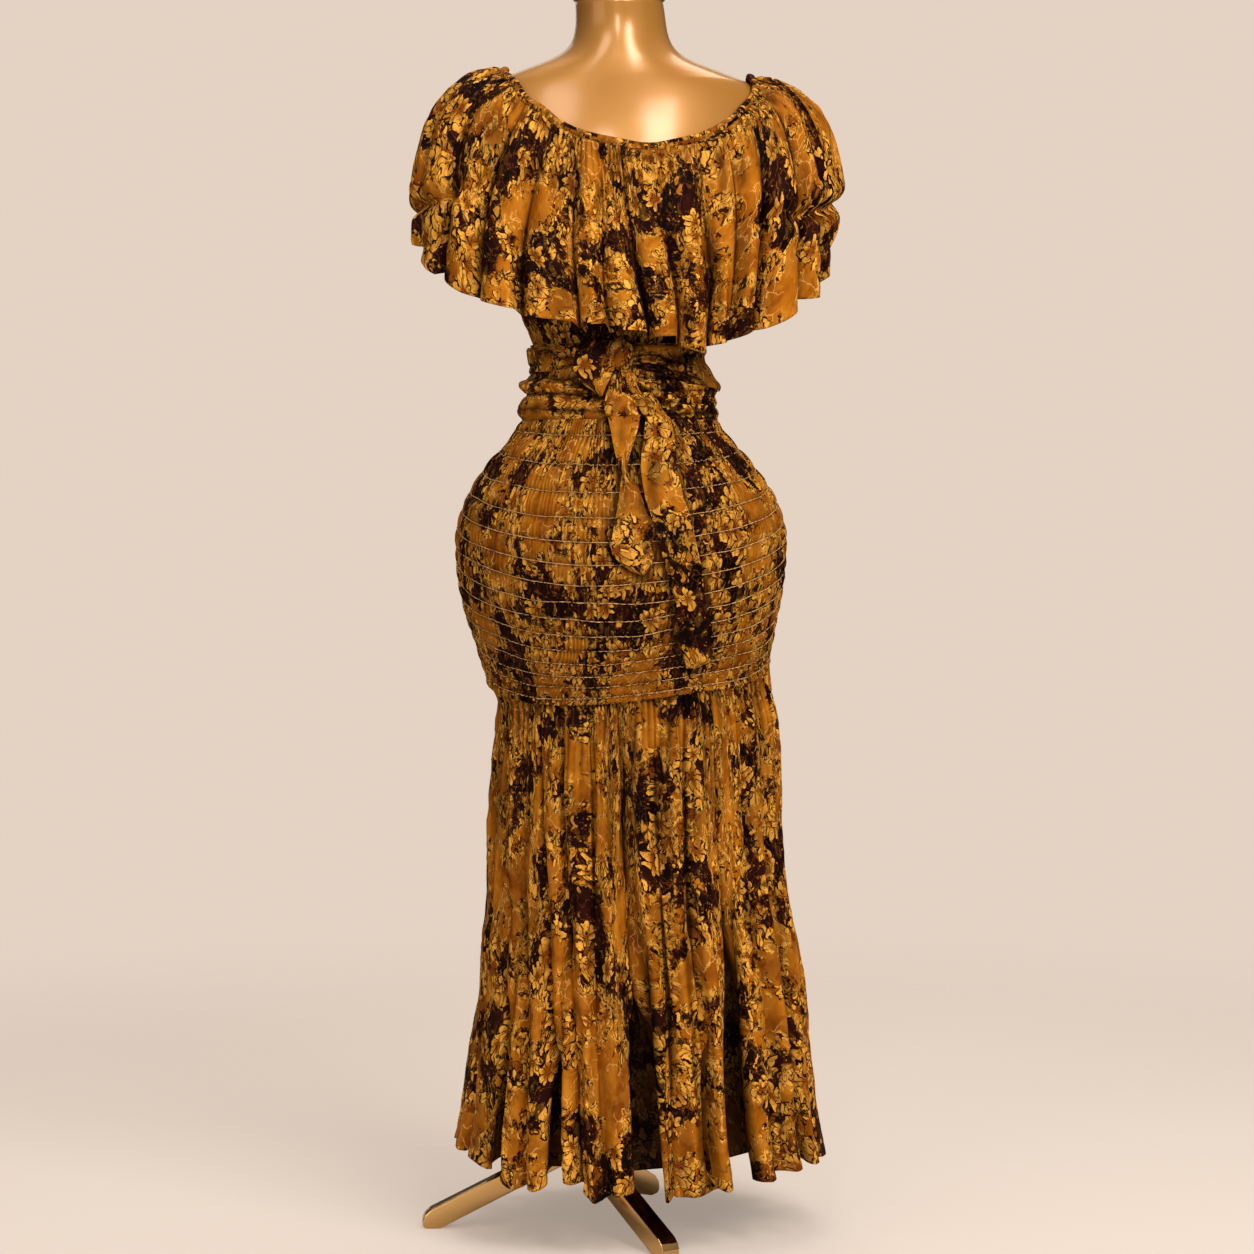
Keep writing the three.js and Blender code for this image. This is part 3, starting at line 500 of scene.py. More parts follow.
def cottonThread():
    material, tree = newMaterial("tan_cotton_thread")
    place = addNode(tree, "ShaderNodeTexCoord")
    twist = addNode(tree, "ShaderNodeTexNoise", {"Scale": 260.0, "Detail": 2.0},
                    {"Vector": place.outputs["Object"]})
    ramp = addNode(tree, "ShaderNodeValToRGB", links={"Fac": twist.outputs["Fac"]})
    setStops(ramp, (0.36, threadLook["dark"]), (0.6, threadLook["light"]))
    bump = addNode(tree, "ShaderNodeBump", {"Strength": 0.4, "Distance": 0.0004},
                   {"Height": twist.outputs["Fac"]})
    surface = addNode(tree, "ShaderNodeBsdfPrincipled",
                      {"Roughness": threadLook["roughness"], "IOR": 1.5},
                      {"Base Color": ramp.outputs["Color"], "Normal": bump.outputs[0]})
    addNode(tree, "ShaderNodeOutputMaterial", links={"Surface": surface.outputs[0]})
    return material


# Satin gold lacquer over a moulded shell: soft wide highlights, dark edges, faint orange peel.
lacquerLook = {"dark": "#b3782a", "light": "#c18636", "metallic": 0.35, "roughness": (0.3, 0.4),
               "coatRoughness": 0.17}


def satinGoldLacquer():
    material, tree = newMaterial("satin_gold_lacquer")
    place = addNode(tree, "ShaderNodeTexCoord")
    cloud = addNode(tree, "ShaderNodeTexNoise", {"Scale": 7.0, "Detail": 3.0},
                    {"Vector": place.outputs["Object"]})
    ramp = addNode(tree, "ShaderNodeValToRGB", links={"Fac": cloud.outputs["Fac"]})
    setStops(ramp, (0.3, lacquerLook["dark"]), (0.7, lacquerLook["light"]))
    peel = addNode(tree, "ShaderNodeTexNoise", {"Scale": 700.0, "Detail": 1.0},
                   {"Vector": place.outputs["Object"]})
    bump = addNode(tree, "ShaderNodeBump", {"Strength": 0.06, "Distance": 0.0004},
                   {"Height": peel.outputs["Fac"]})
    smoothest, roughest = lacquerLook["roughness"]
    rough = addNode(tree, "ShaderNodeMapRange", {"From Min": 0.3, "From Max": 0.7,
                                                 "To Min": smoothest, "To Max": roughest},
                    {"Value": cloud.outputs["Fac"]})
    surface = addNode(tree, "ShaderNodeBsdfPrincipled",
                      {"Metallic": lacquerLook["metallic"], "Coat Weight": 1.0,
                       "Coat Roughness": lacquerLook["coatRoughness"]},
                      {"Base Color": ramp.outputs["Color"], "Roughness": rough.outputs["Result"],
                       "Normal": bump.outputs[0]})
    addNode(tree, "ShaderNodeOutputMaterial", links={"Surface": surface.outputs[0]})
    return material


# Gold-plated steel, polished: mirror-like with fine wipe marks along the bars.
platingLook = {"dark": "#f2bd76", "light": "#f8ca86", "roughness": (0.08, 0.17)}


def polishedPlating():
    material, tree = newMaterial("polished_gold_plating")
    place = addNode(tree, "ShaderNodeTexCoord")
    wipe = addNode(tree, "ShaderNodeMapping", {"Scale": (30, 30, 400)},
                   {"Vector": place.outputs["Object"]})
    marks = addNode(tree, "ShaderNodeTexNoise", {"Scale": 1.0, "Detail": 4.0},
                    {"Vector": wipe.outputs[0]})
    smoothest, roughest = platingLook["roughness"]
    rough = addNode(tree, "ShaderNodeMapRange", {"From Min": 0.3, "From Max": 0.7,
                                                 "To Min": smoothest, "To Max": roughest},
                    {"Value": marks.outputs["Fac"]})
    tone = addNode(tree, "ShaderNodeValToRGB", links={"Fac": marks.outputs["Fac"]})
    setStops(tone, (0.25, platingLook["dark"]), (0.75, platingLook["light"]))
    bump = addNode(tree, "ShaderNodeBump", {"Strength": 0.03, "Distance": 0.0003},
                   {"Height": marks.outputs["Fac"]})
    surface = addNode(tree, "ShaderNodeBsdfPrincipled", {"Metallic": 1.0},
                      {"Base Color": tone.outputs["Color"], "Roughness": rough.outputs["Result"],
                       "Normal": bump.outputs[0]})
    addNode(tree, "ShaderNodeOutputMaterial", links={"Surface": surface.outputs[0]})
    return material


dressCloth = printedRayon("printed_rayon_challis")
paleCloth = printedRayon("printed_rayon_light_part", dark=-0.015)
darkCloth = printedRayon("printed_rayon_dark_part", dark=0.02)
threadFinish = cottonThread()
formFinish = satinGoldLacquer()
standFinish = polishedPlating()
print("materials made")

# the form and the sections of the cloth, in the same numbers as the part's source

figure = tableOf("z half back front shift", [
    [600, 122, 108, 104, 0], [640, 136, 116, 109, 0], [662, 148, 122, 112, 0],
    [686, 160, 130, 115, 0], [710, 168, 139, 118, 0], [734, 177, 148, 121, 0],
    [758, 184, 156, 124, 0], [782, 188, 163, 125, 0], [806, 190.5, 167, 127, 0],
    [830, 191.5, 167, 128, 0], [854, 188, 163, 128, 0], [878, 179.5, 155, 126, 0],
    [902, 166, 144, 123, 0], [926, 147, 129, 118, 0], [950, 126, 114, 111, 0],
    [965, 113, 104, 105, 0], [984, 104, 94, 99, 0], [1010, 99, 84, 94, -1],
    [1031, 95, 79, 89, -2], [1050, 91, 78, 88, -3], [1070, 97, 80, 92, -3],
    [1090, 108, 86, 100, -1], [1120, 121, 90, 112, 0], [1150, 134, 98, 126, 0],
    [1190, 148, 104, 138, 0], [1230, 162, 106, 132, 0], [1270, 171, 101, 113, 0],
    [1310, 176, 92, 94, 0], [1345, 172, 80, 76, 0], [1365, 163, 72, 68, 0],
    [1380, 147, 66, 63, -1], [1388, 118, 63, 62, -4], [1395, 97, 61.5, 62, -3],
    [1402, 80, 60, 62, -1], [1408, 69.5, 58, 61.5, 0], [1416, 61.5, 56, 60.5, 0],
    [1428, 56.5, 53, 58, 0], [1440, 54.2, 50, 56, 0], [1471, 52.3, 50, 54, -2.3],
])

neckline = tableOf("angle z", [
    [-90, 1384], [-76, 1383], [-62, 1377], [-49, 1366], [-40, 1347], [-31, 1332], [-24, 1316],
    [-12, 1300], [-2, 1293], [10, 1288], [23, 1294], [32, 1302], [46, 1322], [56, 1340],
    [67, 1356], [80, 1374], [90, 1377], [100, 1375.5], [113, 1360], [124, 1341], [136, 1316],
    [150, 1290], [165, 1276], [180, 1271], [196, 1278], [210, 1296], [222, 1324], [233, 1351],
    [245, 1372], [258, 1382.5],
], ring=True)

bodyCloth = tableOf("z left right back front", [
    [640, 150, 166, 124, 116], [662, 157.5, 170, 130, 118.5], [686, 168, 175.5, 137, 121.5],
    [710, 175, 182, 146, 125], [734, 184, 186, 155, 128], [758, 190, 191, 163, 131],
    [782, 194.6, 194.6, 170, 132], [806, 197, 197, 174, 134], [830, 198, 198, 174, 135],
    [854, 194.5, 194.5, 170, 135], [878, 186, 186, 162, 133], [902, 173, 172, 151, 130],
    [926, 156, 153, 136, 125], [950, 133, 132, 121, 118], [965, 124.5, 120, 112, 112.5],
    [974, 118.5, 116, 106, 109], [984, 124, 113.5, 105, 110], [993, 115, 114, 98, 106],
    [1001, 112.5, 110.5, 94, 104], [1012, 120, 115, 97, 107], [1022, 109, 108, 92, 101],
    [1031, 104.5, 104, 90, 98], [1040, 105, 98, 89, 97], [1050, 107, 96.5, 89, 97],
    [1063, 108.5, 101, 90, 100],
])

hipEdge = tableOf("angle z", [
    [-90, 660], [-75, 654], [-52, 645], [-38, 641], [-14, 643], [3, 647], [20, 653],
    [35, 658], [56, 662], [75, 672], [90, 684], [120, 672], [150, 660], [180, 655],
    [210, 652], [240, 655],
], ring=True)

skirtCloth = tableOf("z left right back front", [
    [40, 199, 244, 186, 199], [97, 194, 238, 181, 194], [127, 189, 232, 178, 190],
    [176, 182, 226, 173, 184], [225, 176, 221, 168, 178], [298, 165, 214, 162, 168],
    [347, 163, 207, 156, 160], [396, 158, 198, 150, 152], [468, 157, 190, 142, 142],
    [517, 155, 188, 138, 136], [565, 151, 187, 134, 130], [614, 147, 184, 128, 122],
    [636, 145, 180, 124, 117], [650, 151, 177, 125.5, 116.5], [660, 155.5, 176, 128, 117.5],
    [684, 166, 174.5, 136, 120.5],
])

skirtHem = tableOf("angle z", [
    [-90, 108], [-60, 107], [-46, 98], [-36, 80], [-18, 98], [-8, 72], [5, 92], [16, 74],
    [27, 78], [37, 94], [50, 90], [65, 92], [90, 92], [120, 72], [150, 60], [180, 56],
    [210, 61], [240, 78],
], ring=True)

flounceHem = tableOf("angle z reach depth", [
    [-104, 1238, 246, 168], [-93, 1196, 241, 160], [-86, 1183, 241, 152], [-65, 1152, 240, 146],
    [-47, 1118, 243, 144], [-25, 1090, 244, 142], [0, 1072, 244, 141], [22, 1058, 244, 142],
    [40, 1078, 244, 144], [62, 1118, 243, 146], [86, 1146, 241, 152], [93, 1182, 249, 160],
    [103, 1232, 262, 168], [122, 1186, 258, 176], [140, 1132, 250, 181], [150, 1104, 248, 182],
    [165, 1076, 246, 184], [180, 1066, 246, 184], [195, 1078, 246, 184], [210, 1114, 247, 182],
    [222, 1152, 246, 180], [237, 1192, 245, 176],
], ring=True)

# folds: valley angle at the top and at the hem, then depth at the top, half-way and at the hem
skirtFolds = np.array([
    [-90, -90, 1.6, 4, 7], [-78, -66, 1.6, 7, 10], [-66, -46.5, 1.8, 9, 18], [-52, -35, 1.8, 5, 7],
    [-41, -22, 1.8, 11, 17], [-29, -14, 1.8, 8, 8], [-15, -6, 1.8, 5, 2], [-2, 8, 1.8, 12, 26],
    [12, 17, 1.8, 6, 2], [24, 27, 1.8, 7, 3], [36, 37.5, 1.8, 13, 26], [50, 52, 1.8, 6, 2.5],
    [64, 66, 1.8, 9, 12], [77, 78, 1.6, 4, 3], [90, 90, 1.6, 6, 10], [103, 102, 1.8, 7, 13],
    [116, 114, 1.8, 5, 9], [128, 128, 1.8, 9, 17], [140, 141, 1.8, 5, 8], [152, 154, 1.8, 8, 15],
    [164, 167, 1.8, 6, 9], [176, 178, 1.8, 10, 20], [188, 189, 1.8, 5, 7], [200, 201, 1.8, 8, 15],
    [213, 215, 1.8, 5, 9], [227, 229, 1.8, 9, 17], [241, 243, 1.8, 5, 8], [255, 256, 1.6, 6, 11],
])

flounceFolds = np.array([
    [-90, -88, 1.2, 4, 7], [-73, -77, 1.2, 5, 9], [-56, -61, 1.2, 5, 8], [-38, -43.5, 1.2, 8, 14],
    [-26, -29, 1.2, 4, 7], [-15, -12.5, 1.2, 4, 10], [-7, -3, 1.2, 3, 5], [1, 7, 1.2, 4, 11],
    [14, 15.5, 1.2, 4, 9], [26.5, 26, 1.2, 4, 10], [40, 32, 1.2, 4, 5], [54, 40, 1.2, 7, 12],
    [66, 61, 1.2, 7, 11], [78, 76, 1.2, 5, 7], [90, 90, 1.2, 4, 6], [104, 105, 1.2, 5, 7],
    [118, 120, 1.2, 6, 11], [131, 134, 1.2, 5, 9], [143, 146, 1.2, 5, 12], [154, 156, 1.2, 3, 7],
    [164, 166, 1.2, 4, 12], [174, 176, 1.2, 3, 6], [184, 186, 1.2, 4, 12], [195, 196, 1.2, 3, 8],
    [206, 208, 1.2, 5, 12], [219, 222, 1.2, 5, 8], [233, 237, 1.2, 6, 11], [252, 254, 1.2, 5, 8],
])

seamGap = 0.35
waistTop, waistBottom = 1062.8, 974.2
casing = {"lift": 5.6, "thick": 8.2, "height": 11}
flounceLift = 8.6


def sectionPoint(row, angle, z):
    across, along = np.sin(np.radians(angle)), np.cos(np.radians(angle))
    x = across * np.where(across > 0, row["right"], row["left"])
    y = -along * np.where(along > 0, row["back"], row["front"])
    return vec(x, y, z)


def figurePoint(angle, z):
    row = figure(z)
    across, along = np.sin(np.radians(angle)), np.cos(np.radians(angle))
    y = -along * np.where(along > 0, row["back"], row["front"])
    return vec(row["shift"] + row["half"] * across, y, z)


def neckFrame(angle):
    def at(turn):
        return figurePoint(turn, neckline(turn)["z"])

    out = outwardAt(figurePoint, angle, neckline(angle)["z"], 1, -1)
    along = unit(at(angle + 1) - at(angle - 1))
    out = unit(out - along * (out * along).sum(-1, keepdims=True))
    return at(angle), out, np.cross(along, out)


def bodyPoint(angle, z):
    return sectionPoint(bodyCloth(z), angle, z)


def waistPoint(angle, z):
    free = smooth(waistBottom, 984, z) * (1 - smooth(1018, 1030, z))
    wander = 3.2 * np.sin(np.radians(2 * angle + 40)) + 2 * np.sin(np.radians(5 * angle))
    row = bodyCloth(z + free * wander)
    return sectionPoint(row, angle, z)


def hipHeight(angle, t):
    eased = t + 0.18 * t * (1 - t)
    behind = np.maximum(0, np.cos(np.radians(angle)))
    sag = 35 * np.sin(np.pi * t ** 0.85) * behind ** 1.4
    return lerp(waistBottom - seamGap, hipEdge(angle)["z"], eased) - sag


# a fold's angle and rise; broad crests, narrow hollows, and deep folds that lean over
def foldAt(folds, column, t, seed):
    count = len(folds)
    random = np.random.default_rng(seed)
    lean = random.uniform(-0.62, 0.62, count)
    sway = random.uniform(0, 2 * np.pi, count)
    number = np.floor(column / 4 + 1e-9).astype(int)
    share = np.clip(column / 4 - number, 0, 1)

    def valley(i):
        turn, k = i // count, i % count
        angle = lerp(folds[k, 0], folds[k, 1], t) + 360 * turn + 1.1 * t * np.sin(6 * t + sway[k])
        depth = folds[k, 2] * (1 - t) * (1 - 2 * t) + folds[k, 3] * 4 * t * (1 - t)
        return angle, depth + folds[k, 4] * t * (2 * t - 1)

    angleA, depthA = valley(number)
    angleB, depthB = valley(number + 1)
    depth = lerp(depthA, depthB, share)
    leaning = share + lean[number % count] * np.sin(2 * np.pi * share) / (2 * np.pi)
    wide = 0.03 + 0.13 * smooth(3, 16, depth)
    placed = share - wide * np.sin(2 * np.pi * share)
    wave = 2 * np.sin(np.pi * np.clip(leaning, 0, 1)) ** 1.2 - 1
    return lerp(angleA, angleB, placed), wave, depth * wave


def skirtPoint(column, t):
    angle, wave, rise = foldAt(skirtFolds, column, t, 5)
    upper = hipEdge(angle)["z"] - 2 * seamGap
    lower = skirtHem(angle)["z"] - 0.5 * rise
    z = lerp(upper, lower, t)
    point = sectionPoint(skirtCloth(z), angle, z)
    out = vec(np.sin(np.radians(angle)), -np.cos(np.radians(angle)), 0)
    deepOnly = rise - 0.5 * np.maximum(0, np.abs(rise) - 9) + 0.35 * np.minimum(0, rise)
    return point + out * (deepOnly - 0.6 * t)[..., None], wave


def flounceBase(angle, t):
    neck, out, down = neckFrame(angle)
    drop = casing["height"] / 2 + 2 * seamGap
    start = neck + out * flounceLift + down * drop
    hem = flounceHem(angle)
    across, along = np.sin(np.radians(angle)), np.cos(np.radians(angle))
    end = vec(hem["reach"] * across, -hem["depth"] * along, hem["z"])
    side = across * across

    def between(level, fall):
        flat = lerp(start[..., :2], end[..., :2], level[..., None])
        return np.concatenate([flat, lerp(start[..., 2], end[..., 2], fall)[..., None]], -1)

    chest = np.where(along > 0, 0.5, 0.85)
    first = between(lerp(chest, 0.85, side), lerp(0.33, 0, side))
    second = between(lerp(0.9, np.where(across < 0, 1.1, 1.14), side), lerp(0.66, 0.5, side))
    t = np.asarray(t)[..., None]
    rest = 1 - t
    bend = 3 * rest * t * (first * rest + second * t)
    return start * rest ** 3 + bend + end * t ** 3


def halves(grid):
    middle = (grid.shape[1] - 1) // 2
    return grid[:, :middle + 1], grid[:, middle:]


print("surfaces ready")

# form and stand

formShape = {"around": 132, "rows": 120, "bottom": 600, "top": 1471}
formZ = np.linspace(formShape["bottom"], formShape["top"], formShape["rows"])
formZ = np.sort(np.concatenate([formZ, np.linspace(1375, 1420, 24)]))
formAngles = np.linspace(0, 360, formShape["around"], endpoint=False)
# the neck's foot is a soft slope: the profile is averaged over a few millimetres there
rings = 0
blur = smooth(1350, 1385, formZ) * (1 - smooth(1440, 1462, formZ))
for near, weight in ((-16, 0.06), (-11, 0.12), (-6, 0.2), (0, 0.24), (6, 0.2), (11, 0.12),
                     (16, 0.06)):
    angle, z = np.meshgrid(formAngles, formZ + near * blur)
    ring = figurePoint(angle, z)
    ring[..., 2] = formZ[:, None]
    rings = rings + weight * ring
formPoints, formFaces = closedRings(rings)
addPiece("form_shell", meshOf("form_shell", formPoints, formFaces), formFinish, "form_skin",
         "form_torso")


# a turned piece: radius and height pairs, from the bottom up
def turned(name, profile, around, centre, material, slot, *nodes, knurl=0.0):
    turns = np.linspace(0, 2 * np.pi, around, endpoint=False)
    profile = np.array(profile, float)
    radius = profile[:, :1] * np.ones(around)
    if knurl:
        grip = (np.arange(around) % 2) * knurl * (profile[:, 2:3] if profile.shape[1] > 2 else 0)
        radius = radius - grip
    points = vec(centre[0] + radius * np.cos(turns), centre[1] + radius * np.sin(turns),
                 profile[:, 1:2] * np.ones(around))
    mesh = meshOf(name, *closedRings(points))
    piece = addPiece(name, mesh, material, slot, *nodes)
    mesh.set_sharp_from_angle(angle=math.radians(35))
    return piece


def filleted(corners, radius, steps=5):
    made = []
    for i, (r, z) in enumerate(corners):
        if i in (0, len(corners) - 1):
            made.append((r, z))
            continue
        here = np.array((r, z), float)
        before = np.array(corners[i - 1], float) - here
        after = np.array(corners[i + 1], float) - here
        cut = min(radius, 0.45 * np.linalg.norm(before), 0.45 * np.linalg.norm(after))
        a = here + before / np.linalg.norm(before) * cut
        b = here + after / np.linalg.norm(after) * cut
        for k in range(steps + 1):
            s = k / steps
            made.append(tuple((1 - s) ** 2 * a + 2 * s * (1 - s) * here + s * s * b))
    return made


# round parts: radius, bottom, top and rounded edge
stand = {"x": -48, "pole": (12.5, 104.35, 599.6, 1.2), "hub": (21, 74, 104, 2.2),
         "cap": (55.5, 1471.35, 1486, 3.5),
         "legWidth": 24, "legTurns": (-86.5, 33.5, 153.5), "legEdge": 1.6}


def barProfile(radius, low, high, edge):
    return filleted([(0.5, low), (radius, low), (radius, high), (0.5, high)], edge)


standCentre = (stand["x"], 0)
turned("neck_cap_turned", barProfile(*stand["cap"]), 96, (-2.3, 2), formFinish, "form_skin",
       "neck_cap")
turned("pole_tube", barProfile(*stand["pole"]), 64, standCentre, standFinish, "stand_metal",
       "stand_pole")
turned("hub_turned", barProfile(*stand["hub"]), 72, standCentre, standFinish, "stand_metal",
       "stand_hub")
screwProfile = [(0.5, 63, 0), (4.2, 63, 0), (5.0, 63.8, 0), (5.5, 65, 1), (5.5, 72, 1),
                (5.0, 73.2, 0), (4.4, 73.6, 0), (0.5, 73.6, 0)]
turned("screw_knurled", screwProfile, 48, standCentre, standFinish, "stand_metal",
       "stand_screw", knurl=0.35)

# a leg from its side: reach and height
legSide = [(21.5, 102.5), (21.5, 75.5), (171, 0), (188, 0), (192, 3), (193, 9), (190, 16),
           (183, 22.5)]
for index, turn in enumerate(stand["legTurns"]):
    made = bmesh.new()
    side = math.radians(turn - 90)
    c, s = math.cos(side), math.sin(side)

    def onLeg(r, across, z):
        x, y = c * r - s * across, s * r + c * across
        return Vector(((x + stand["x"] + shift[0]) * 0.001, (y + shift[1]) * 0.001, z * 0.001))

    half = stand["legWidth"] / 2
    near = [made.verts.new(onLeg(r, -half, z)) for r, z in legSide]
    far = [made.verts.new(onLeg(r, half, z)) for r, z in legSide]
    made.faces.new(near)
    made.faces.new(far[::-1])
    for i in range(len(legSide)):
        k = (i + 1) % len(legSide)
        made.faces.new((near[k], near[i], far[i], far[k]))
    bmesh.ops.recalc_face_normals(made, faces=made.faces)
    bmesh.ops.bevel(made, geom=list(made.edges), offset=stand["legEdge"] * 0.001, segments=3,
                    profile=0.6, affect="EDGES", clamp_overlap=True)
    mesh = bpy.data.meshes.new(f"leg_bar_{index + 1}")
    made.to_mesh(mesh)
    made.free()
    mesh.polygons.foreach_set("use_smooth", np.ones(len(mesh.polygons), bool))
    mesh.set_sharp_from_angle(angle=math.radians(40))
    addPiece(f"leg_bar_{index + 1}", mesh, standFinish, "stand_metal", f"stand_leg_{index + 1}")
print("form and stand made")

# casing with elastic inside, puckered all round

casingLook = {"columns": 760, "around": 14, "puckers": 118, "pucker": 0.85}
turn = np.linspace(0, 1, casingLook["columns"] + 1)
even = 360 * turn - 90
casingAngles = even + 12 * np.sin(np.radians(2 * even))
neck, out, down = neckFrame(casingAngles)
wander = 0.55 * uneven(turn * 60, 0.3, 11, 60)
phase = casingLook["puckers"] * turn + wander
pucker = np.abs(np.sin(np.pi * phase)) ** 0.7
lie = 0.6 * uneven(turn * 37, 1.7, 12, 37)
centre = neck + out * (casing["lift"] - 0.3) + down * lie[:, None]
casingRows = []
casingValley = []
for k in range(casingLook["around"] + 1):
    side = 2 * np.pi * k / casingLook["around"]
    own = (1 - 0.2 * (1 - pucker) * casingLook["pucker"]
           - 0.06 * uneven(turn * 150, k * 0.5, 13, 150))
    reachOut = casing["thick"] / 2 * np.cos(side) * own
    reachDown = casing["height"] / 2 * np.sin(side) * (0.97 + 0.07 * uneven(turn * 80, 2, 14, 80))
    casingRows.append(centre + out * reachOut[:, None] + down * reachDown[:, None])
    # painted shade between the puckers
    casingValley.append(0.75 * (1 - pucker) ** 2)
casingGrid = np.array(casingRows)
casingUv = clothCoordinates(casingGrid, (0.4, 0.9), 1.5)
clothSheet("casing_gathered", casingGrid, casingUv, dressCloth, "neck_casing",
           valley=np.array(casingValley), cut=(1.2, 0.03), rests=["form_shell"])
print("casing made")

# flounce: one gathered ruffle in two panels, seams on the shoulders

flounceLook = {"columns": 830, "rows": 98, "gathers": 132, "gather": 2.1, "fade": 0.42,
               "crinkle": 3.4, "small": 1.5, "step": 14, "deeper": 0.85}
column = np.linspace(0, 112, flounceLook["columns"] + 1)
c, t = np.meshgrid(column, np.linspace(0, 1, flounceLook["rows"] + 1))
angle, wave, rise = foldAt(flounceFolds, c, t, 8)
rise = rise + flounceLook["deeper"] * np.minimum(rise, 0)
base = flounceBase(angle, t)
out = outwardAt(flounceBase, angle, t, 2, 0.03)
turn = c / 112
gatherAt = flounceLook["gathers"] * turn + 0.8 * uneven(turn * 70, t * 3, 21, 70)
gather = np.sin(2 * np.pi * gatherAt)
fading = np.clip(1 - t / flounceLook["fade"], 0, 1) ** 1.3 * (0.35 + 0.65 * smooth(0, 0.03, t))
strength = 0.75 + 0.5 * uneven(turn * 45, t * 2, 22, 45)
gatherRise = flounceLook["gather"] * gather * fading * strength
lengthwise = crests(turn * 76 + 0.6 * uneven(turn * 30, t * 4, 23, 30), t * 3.4, 24, 76)
short = crests(turn * 150, t * 11 + turn * 20, 25, 150)
slant = crests(turn * 90, t * 8 + turn * 56, 26, 90)
loose = smooth(0, 0.12, t)
small = flounceLook["small"] * (0.7 * short + 0.6 * slant)
crinkle = loose * (flounceLook["crinkle"] * lengthwise + small)
hemLine = 0.55 * smooth(0.965, 0.99, t) - 0.9 * np.exp(-((t - 0.955) / 0.006) ** 2)
# creases across the sleeves where the ruffle sits on the arm's place
for middle, height, lift, wide in ((-80, 1229, -12, 8), (-80, 1252, 3, 12), (-70, 1184, -3, 9),
                                   (80, 1221, -18, 8), (80, 1244, 5, 12), (70, 1176, -3, 9)):
    off = (angle - middle + 180) % 360 - 180
    level = height + 0.5 * off + 9 * uneven(turn * 20, t * 2, 27, 20)
    near = np.exp(-(off / 30) ** 2) * np.exp(-((base[..., 2] - level) / wide) ** 2)
    crinkle = crinkle + 1.6 * lift * near
flounceGrid = base + out * (rise + gatherRise + 0.62 * crinkle + 0.5 * hemLine)[..., None]
# the hem steps up or down at each fold
fold = np.floor(c / 4 + 1e-9)
share = c / 4 - fold
folds = len(flounceFolds)
steps = np.random.default_rng(9).uniform(-1, 1, folds)[fold.astype(int) % folds]
calm = 1 - 0.45 * smooth(95, 125, angle) * (1 - smooth(235, 265, angle))
stepped = steps * (share - smooth(0.78, 1, share)) * t ** 4
flounceGrid[..., 2] += flounceLook["step"] * calm * stepped
inside = neckFrame(angle[0])
tucked = inside[0] + inside[1] * 5.2 + inside[2] * 1.0
flounceGrid = np.concatenate([tucked[None], flounceGrid], 0)
# painted shade in the folds' valleys and between the gathers, painted highlight on the crests; the
# row tucked under the casing and the turned hem get painted shade too
depth = 1.15 * np.clip(-wave, 0, 1) ** 1.6 * smooth(2, 12, np.abs(rise))
depth = depth - 0.25 * np.clip(wave, 0, 1) ** 3 * t
depth = depth + 0.6 * smooth(0.8, 0.98, -wave) * smooth(2, 5, np.abs(rise)) * smooth(0.04, 0.2, t)
depth = depth + 0.6 * np.clip(-gather, 0, 1) * fading
depth = depth - 0.45 * loose * np.clip(lengthwise + 0.1, -1, 0.5)
flounceValley = np.concatenate([np.full((1, depth.shape[1]), 0.6), np.clip(depth, -0.5, 0.9)], 0)
flounceGrid = withHem(flounceGrid, True)
flounceValley = np.concatenate([flounceValley, np.full((4, depth.shape[1]), 0.3)], 0)
for half, name, start, cut in ((0, "back", (0.0, 0.0), (0.95, 0.28)),
                               (1, "front", (2.3, 1.1), (0.95, 0.25))):
    grid = np.ascontiguousarray(halves(flounceGrid)[half])
    clothSheet(f"flounce_{name}_ruffle", grid, clothCoordinates(grid, start, 1.0), dressCloth,
               f"flounce_{name}", valley=halves(flounceValley)[half], cut=cut,
               rests=["casing_gathered"])
print("flounce made")

# bodice: plain, close to the form, armholes open at the sides

bodiceWidth = tableOf("t half",
                      [[0, 60], [0.25, 57], [0.42, 63], [0.52, 80], [0.58, 90], [1, 90]])
bodiceLift = tableOf("z lift", [[1063, 7.5], [1100, 6.5], [1190, 8], [1240, 6], [1340, 4.5]])
bodiceLook = {"columns": 120, "rows": 50, "crinkle": 1.4}


def bodicePoint(share, t, middle):
    angle = middle + share * bodiceWidth(t)["half"]
    topAngle = middle + share * bodiceWidth(0.0 * t)["half"]
    neck, out, down = neckFrame(topAngle)
    start = neck + down * (casing["height"] / 2 + 3.5)
    z = lerp(start[..., 2], waistTop + seamGap, t)
    out = outwardAt(figurePoint, angle, z, 1, -1)
    flat = unit(out * np.array([1, 1, 0]))
    return figurePoint(angle, z) + flat * bodiceLift(z)["lift"][..., None]


for middle, name, start in ((0, "back", (3.1, 0.2)), (180, "front", (4.4, 0.7))):
    share, t = np.meshgrid(np.linspace(-1, 1, bodiceLook["columns"] + 1),
                           np.linspace(0, 1, bodiceLook["rows"] + 1))
    grid = bodicePoint(share, t, middle)
    folds = crests(share * 22 + 30, t * 5, 31) + 0.6 * crests(share * 40 + 60, t * 9, 32)
    soft = smooth(0, 0.06, t) * smooth(0, 0.04, 1 - np.abs(share))
    grid = grid + normalsOf(grid, False) * (bodiceLook["crinkle"] * (folds - 0.6) * soft)[..., None]
    # valley: painted shade in the bodice's soft folds
    clothSheet(f"bodice_{name}_cloth", grid, clothCoordinates(grid, start, 1.1), dressCloth,
               f"bodice_{name}", valley=0.25 * np.clip(-folds, 0, 1), cut=(0.31, 0.31),
               held="draped", rests=["form_shell"])
print("bodice made")

# outlines of the bow, read before the waist and hips that lie under it

